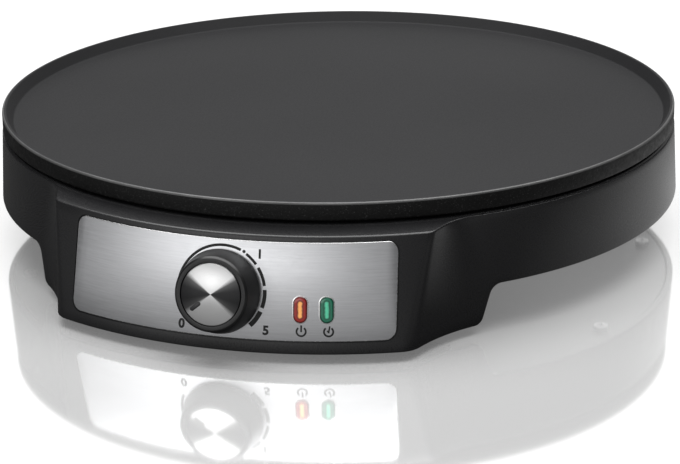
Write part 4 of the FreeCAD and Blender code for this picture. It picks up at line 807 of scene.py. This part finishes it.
def lower_edge(point):
    """Height of the housing's lower edge at a plan point."""
    around = abs(azimuth(point))
    if around < 90:
        past = around - FRONT_LEG_STOP
    else:
        past = max(around - REAR_LEG_STOP, REAR_LEG_START - around)
    return leg_curve(point.length * math.sin(math.radians(past)))


def housing_columns():
    """Plan points at the pod's foot and top, from the front's middle round to the back's middle."""
    counts = (48, 10, 10, 44)
    low = pod_plan(front=POD_RADIUS, half=78.5, blend=80.0, skirt=SKIRT_FOOT_RADIUS, counts=counts, soft=5.0)
    high = pod_plan(front=pod_radius(POD_TOP), half=83.2, blend=28.0, skirt=SKIRT_TOP_RADIUS, counts=counts,
                    soft=2.2)
    low_end = azimuth(low[-1])
    high_end = azimuth(high[-1])
    steps = 40
    for index in range(1, steps + 1):
        share = index / steps
        low.append(ring_point(SKIRT_FOOT_RADIUS, low_end + (SKIRT_START - low_end) * share))
        high.append(ring_point(SKIRT_TOP_RADIUS, high_end + (SKIRT_START - high_end) * share))
    # Close together round the rear legs
    stops = [SKIRT_START + 1.5 * index for index in range(1, 53)]
    stops += [125.0 + 0.3 * index for index in range(1, 127)]
    stops += [164.0 + 2.0 * index for index in range(9)]
    for stop in stops:
        low.append(ring_point(SKIRT_FOOT_RADIUS, stop))
        high.append(ring_point(SKIRT_TOP_RADIUS, stop))
    return low, high


def housing_column(foot, top):
    """Section of the moulding over one plan point: inside its wall, round its foot, up, and over the deck."""
    def at(z, inset=0.0):
        flat = foot.lerp(top, (z - POD_BOTTOM) / (POD_TOP - POD_BOTTOM))
        flat = flat * ((flat.length - inset) / flat.length)
        return Vector((flat.x, flat.y, z))

    bottom = POD_BOTTOM
    for _ in range(12):
        bottom = lower_edge(at(bottom).xy)
    reach = at(51.4).xy.length
    pod = min(1.0, max(0.0, (reach - 158.2) / 2.0))
    soft = 0.3 + 0.6 * pod
    edge_z = 52.1 - max(reach - 158.6, 0.0) * LEDGE_FALL
    column = [at(50.2, HOUSING_WALL), at(bottom, HOUSING_WALL), at(bottom, FOOT_ROUND)]
    for turn in (30, 60, 90):
        angle = math.radians(turn)
        column.append(at(bottom + FOOT_ROUND * (1 - math.cos(angle)), FOOT_ROUND * (1 - math.sin(angle))))
    start = bottom + FOOT_ROUND
    end = edge_z - soft
    for index in range(1, 13):
        column.append(at(start + (end - start) * index / 12))
    for turn in (22, 45, 67, 90):
        angle = math.radians(turn)
        column.append(at(end + soft * math.sin(angle), soft * (1 - math.cos(angle))))
    direction = column[-1].xy.normalized()
    outer = column[-1].xy.length
    inner = min(158.4, outer - 0.35)
    inner_z = column[-1].z + (outer - inner) * LEDGE_FALL

    def across(radius, z):
        return Vector((direction.x * radius, direction.y * radius, z))

    for part in (0.33, 0.66, 1.0):
        column.append(across(outer + (inner - outer) * part, edge_z + (inner_z - edge_z) * part))
    for share, z in ((0.72, 52.28), (0.45, 52.62), (0.2, 52.78), (0.0, DECK_TOP)):
        column.append(across(DECK_EDGE_RADIUS + (inner - DECK_EDGE_RADIUS) * share, max(z, inner_z)))
    return column + [across(DECK_BORE_RADIUS, DECK_TOP), across(DECK_BORE_RADIUS, 50.6)]


def build_housing(plastic):
    """Skirt, pod and legs in one moulding, with the panel's shallow bed."""
    low, high = housing_columns()
    columns = [housing_column(foot, top) for foot, top in zip(low, high)]
    mirrored = [[Vector((-p.x, p.y, p.z)) for p in column] for column in columns[1:-1]]
    verts, faces = closed_grid(columns + mirrored[::-1])
    mesh = bpy.data.meshes.new("housing_moulding")
    mesh.from_pydata([metres(v) for v in verts], [], faces)
    housing = bpy.data.objects.new("housing_moulding", mesh)
    bpy.context.scene.collection.objects.link(housing)
    dress(housing, plastic, ["housing_shell"], sharp=55)
    cut_recess(housing)


def face_sheet(name, half, low, high, corner, front, back, edge=0.0):
    """Round-cornered sheet drawn flat, widened upwards, cut into strips, pushed back and wrapped."""
    clear_selection()
    bpy.ops.mesh.primitive_plane_add(size=1)
    piece = added(name)
    bpy.ops.object.mode_set(mode="EDIT")
    bpy.ops.mesh.select_all(action="SELECT")
    bpy.ops.transform.resize(value=(2 * half * MM, (high - low) * MM, 1))
    bpy.ops.transform.translate(value=(0, (low + high) / 2 * MM, front * MM))
    wide = half + (high - low) * math.tan(PANEL_LEAN)
    select_where(piece, lambda p: p.y > (low + high) / 2)
    bpy.ops.transform.resize(value=(wide / half, 1, 1), center_override=(0, 0, 0))
    bpy.ops.mesh.select_all(action="SELECT")
    bpy.ops.mesh.bevel(offset=corner * MM, segments=10, affect="VERTICES")
    strips = 60
    for index in range(1, strips):
        bpy.ops.mesh.select_all(action="SELECT")
        across = wide * (2 * index / strips - 1) * MM
        bpy.ops.mesh.bisect(plane_co=(across, 0, 0), plane_no=(1, 0, 0))
    bpy.ops.mesh.select_all(action="SELECT")
    push(back - front)
    if edge:
        select_where(piece, lambda p: abs(p.z - front) < 0.01, "FACE")
        bpy.ops.mesh.region_to_loop()
        bpy.ops.mesh.bevel(offset=edge * MM, segments=3, affect="EDGES")
    bpy.ops.mesh.select_all(action="SELECT")
    bpy.ops.mesh.normals_make_consistent(inside=False)
    bpy.ops.transform.translate(value=(PANEL_MIDDLE * MM, 0, 0))
    bpy.ops.object.mode_set(mode="OBJECT")
    wrap(piece)
    return piece


def cut_recess(housing):
    """Shallow bed round the steel panel, a hair wider than the panel."""
    tool = face_sheet("recess_tool", PANEL_HALF + PANEL_GAP, PANEL_LOW - PANEL_GAP, PANEL_HIGH + PANEL_GAP,
                      PANEL_CORNER + PANEL_GAP, 3.0, -1.0)
    clear_selection()
    housing.select_set(True)
    bpy.context.view_layer.objects.active = housing
    cut = housing.modifiers.new("recess", "BOOLEAN")
    cut.object = tool
    cut.operation = "DIFFERENCE"
    cut.solver = "EXACT"
    bpy.ops.object.modifier_apply(modifier=cut.name)
    bpy.data.objects.remove(tool)
    bpy.ops.object.shade_smooth_by_angle(angle=math.radians(40))


def build_panel(edge_steel):
    """Curved steel sheet let into the pod's face, with a brighter edge."""
    sheet = face_sheet("steel_panel", PANEL_HALF, PANEL_LOW, PANEL_HIGH, PANEL_CORNER, 0.0, -0.8, 0.3)
    panel = dress(sheet, brushed_panel(), ["control_panel"], sharp=30)
    panel.data.materials.append(edge_steel)
    for face in panel.data.polygons:
        flat = Vector((face.center.x, face.center.y - AXIS_SHIFT * MM)).normalized()
        outward = Vector((flat.x * math.cos(TILT), flat.y * math.cos(TILT), math.sin(TILT)))
        if face.normal.dot(outward) < 0.985:
            face.material_index = 1


def build_knob(black):
    """Knob, its turned cap and the pointer mark on the cap."""
    profile = fillet([
        (3.05, 9.6), (3.05, 1.6, 0), (5.2, 1.6, 0.2), (5.2, 9.1, 0.4), (13.9, 9.1, 0.5), (15.6, 0.8, 0.2),
        (17.2, 0.8, 0.2), (17.6, 1.4, 0.5), (15.6, 11.3, 0.7), (14.75, KNOB_TOP, 0.5), (13.1, KNOB_TOP, 0.12),
        (13.1, 10.9)], 5)
    dress(turned("knob_moulding", profile, 128, KNOB_FRAME), black, ["knob_body"], "knob", 40)
    profile = fillet([(12.8, 10.95), (12.8, 12.05, 0.25), (12.45, 12.22)], 4)
    dress(turned("knob_cap_turned", profile, 128, KNOB_FRAME), turned_cap(), ["knob_cap"], "knob",
          40)
    pointer = KNOB_FRAME @ Matrix.Rotation(math.radians(130.5), 4, "Z") @ Matrix.Translation((0, 8.2, 0))
    levels = [(0.0, 0.32), (0.03, 0.08), (0.10, 0.06)]
    ink = plain_finish("mark_insert", (0.02, 0.02, 0.021), (0.3, 0.4), grain=2400.0, spread=0.05)
    dress(oblong("knob_pointer_mark", 0.9, 1.75, 11.9, levels, pointer), ink, ["knob_pointer"], "knob",
          40)


def build_lens(colour, s_middle, material, edge_steel):
    """Crowned oblong lens that stands proud of the panel, and the pressed edge of its slot."""
    place = face_frame(LENS_HEIGHT, s_middle)
    levels = [(0.0, 0.32), (0.12, 0.05)]
    edge = oblong(colour + "_slot_edge", LENS_RADIUS + SLOT_EDGE, LENS_STRAIGHT, -0.3, levels, place)
    dress(edge, edge_steel, sharp=40)
    levels = [(0.0, 3.45), (0.12, 0.2), (0.28, 0.15), (0.5, 0.08), (0.7, 0.02)]
    lens = oblong(colour + "_lens_moulding", LENS_RADIUS, LENS_STRAIGHT, -3.1, levels, place)
    dress(lens, material, [colour + "_lens"], sharp=45)


# Printed scale

def printed_strip(centre, radius, first, last, width):
    """Thin flat strip spun round a centre between two angles in degrees."""
    clear_selection()
    start = math.radians(first)
    outward = Vector((math.cos(start), math.sin(start), 0))
    middle = Vector((*centre, PRINT_LIFT)) + outward * radius
    bpy.ops.mesh.primitive_plane_add(size=1, location=middle * MM, rotation=(0, 0, start))
    strip = added("printed")
    strip.scale = (width * MM, 0.02 * MM, 1)
    bpy.ops.object.transform_apply(location=True, rotation=True, scale=True)
    bpy.ops.object.mode_set(mode="EDIT")
    onward = Vector((-outward.y, outward.x, 0)) * (1 if last > first else -1)
    select_where(strip, lambda p: (p - middle).dot(onward) > 0)
    bpy.ops.mesh.spin(steps=max(4, int(abs(last - first) / 3)), angle=SPIN_SIGN * math.radians(last - first),
                      center=(centre[0] * MM, centre[1] * MM, 0), axis=(0, 0, 1))
    bpy.ops.object.mode_set(mode="OBJECT")
    return strip


def printed_dot(centre, radius):
    """Round printed dot."""
    clear_selection()
    bpy.ops.mesh.primitive_circle_add(vertices=20, radius=radius * MM, fill_type="NGON",
                                      location=(centre[0] * MM, centre[1] * MM, PRINT_LIFT * MM))
    bpy.ops.object.transform_apply(location=True, rotation=True, scale=True)
    return added("printed")


def printed_bar(start, end, width):
    """Straight printed bar between two points."""
    clear_selection()
    run = Vector(end) - Vector(start)
    middle = (Vector(start) + Vector(end)) / 2 * MM
    bpy.ops.mesh.primitive_plane_add(size=1, location=(middle.x, middle.y, PRINT_LIFT * MM),
                                     rotation=(0, 0, math.atan2(run.y, run.x)))
    bar = added("printed")
    bar.scale = (run.length * MM, width * MM, 1)
    bpy.ops.object.transform_apply(location=True, rotation=True, scale=True)
    return bar


def printed_numeral(text, centre, height):
    """Printed number, as tall as asked and centred on its place."""
    clear_selection()
    bpy.ops.object.text_add()
    numeral = added("printed")
    numeral.data.body = text
    numeral.data.size = height / 0.7 * MM
    numeral.data.offset = 0.22 * MM
    bpy.ops.object.convert(target="MESH")
    numeral = added("printed")
    lows = [min(v.co[axis] for v in numeral.data.vertices) for axis in (0, 1)]
    highs = [max(v.co[axis] for v in numeral.data.vertices) for axis in (0, 1)]
    numeral.location = (centre[0] * MM - (lows[0] + highs[0]) / 2, centre[1] * MM - (lows[1] + highs[1]) / 2,
                        PRINT_LIFT * MM)
    bpy.ops.object.transform_apply(location=True, rotation=True, scale=True)
    return numeral


def build_marks():
    """The printed scale, numbers and lamp signs, drawn flat round the knob and wrapped on the panel."""
    hub = (0.6, -0.3)
    marks = [printed_strip(hub, 19.4, 67, 205, 1.15), printed_dot((9.6, 17.0), 0.7)]
    for first, last, width in ((56, 38, 1.15), (33, 9, 1.3), (4, -19, 1.6), (-24, -46, 2.0)):
        marks.append(printed_strip((0.0, 0.4), 18.9, last, first, width))
    marks.append(printed_numeral("0", (-16.0, -15.1), 3.7))
    marks.append(printed_numeral("1", (16.4, 16.4), 3.6))
    marks.append(printed_numeral("5", (19.6, -14.9), 3.6))
    power, timer, row = 34.0, 45.0, -14.9
    for sign in (power, timer):
        marks.append(printed_strip((sign, row), 1.85, 128, 412, 0.75))
    marks.append(printed_bar((power, row - 0.2), (power, row + 2.6), 0.7))
    marks.append(printed_bar((timer - 0.6, row + 0.4), (timer + 0.2, row - 0.4), 0.6))
    marks.append(printed_bar((timer, row - 0.5), (timer + 0.5, row + 2.3), 0.6))
    clear_selection()
    for mark in marks:
        mark.select_set(True)
    bpy.context.view_layer.objects.active = marks[0]
    bpy.ops.object.join()
    panel_marks = added("panel_marks")
    wrap(panel_marks, math.cos(TILT), KNOB_HEIGHT)
    dress(panel_marks, plain_finish("panel_print", (0.004, 0.004, 0.004), (0.5, 0.6), spread=0.1))


# Finishes of the carried-over pieces

def finish_inner_pieces(plastic):
    """Gives each carried-over piece the finish of its material slot."""
    kinds = {
        "brushed_steel": dict(rough=(0.3, 0.5), metallic=1.0, grain=700.0, spread=0.08, stretch=(1, 6, 1)),
        "aluminium": dict(rough=(0.3, 0.45), metallic=1.0, grain=700.0, spread=0.06),
        "brass": dict(rough=(0.25, 0.42), metallic=1.0, grain=600.0, spread=0.10),
        "rubber": dict(rough=(0.7, 0.9), grain=1200.0, spread=0.15, bump=0.25),
        "matte_plastic": dict(rough=(0.45, 0.62), grain=1500.0, spread=0.06, bump=0.12),
        "gloss_plastic": dict(rough=(0.25, 0.35), grain=1500.0, spread=0.06),
        "cast_iron": dict(rough=(0.5, 0.7), grain=600.0, spread=0.2, bump=0.4),
        "glass": dict(rough=(0.08, 0.14), grain=300.0, spread=0.05),
    }
    record = frame["record"]
    slot_of = {row["node"]: row["material_slot"] for row in record["subparts"]}
    made = {}
    for row in record["materials"]:
        colour = tuple(row["base_color"][:3])
        made[row["slot"]] = plain_finish("finish_" + row["slot"], colour, **kinds[row["class"]])
    made["housing_plastic"] = plastic
    for node, piece in frame["nodes"].items():
        material = made[slot_of[node]]
        if not piece.material_slots:
            piece.data.materials.append(material)
        for holder in piece.material_slots:
            holder.material = material


build_camera()
build_studio()
plastic = housing_plastic()
finish_inner_pieces(plastic)
build_plate()
build_housing(plastic)
edge_steel = panel_edge()
build_panel(edge_steel)
build_knob(knob_satin())
for colour, s_middle, rim_colour, core_colour, glow in (
        ("red", RED_PLACE, (0.115, 0.004, 0.002), (1.0, 0.44, 0.12), 0.42),
        ("green", GREEN_PLACE, (0.003, 0.065, 0.036), (0.10, 0.62, 0.37), 0.28)):
    tint = lens_finish(colour + "_lens_tint", s_middle, rim_colour, core_colour, glow)
    build_lens(colour, s_middle, tint, edge_steel)
build_marks()
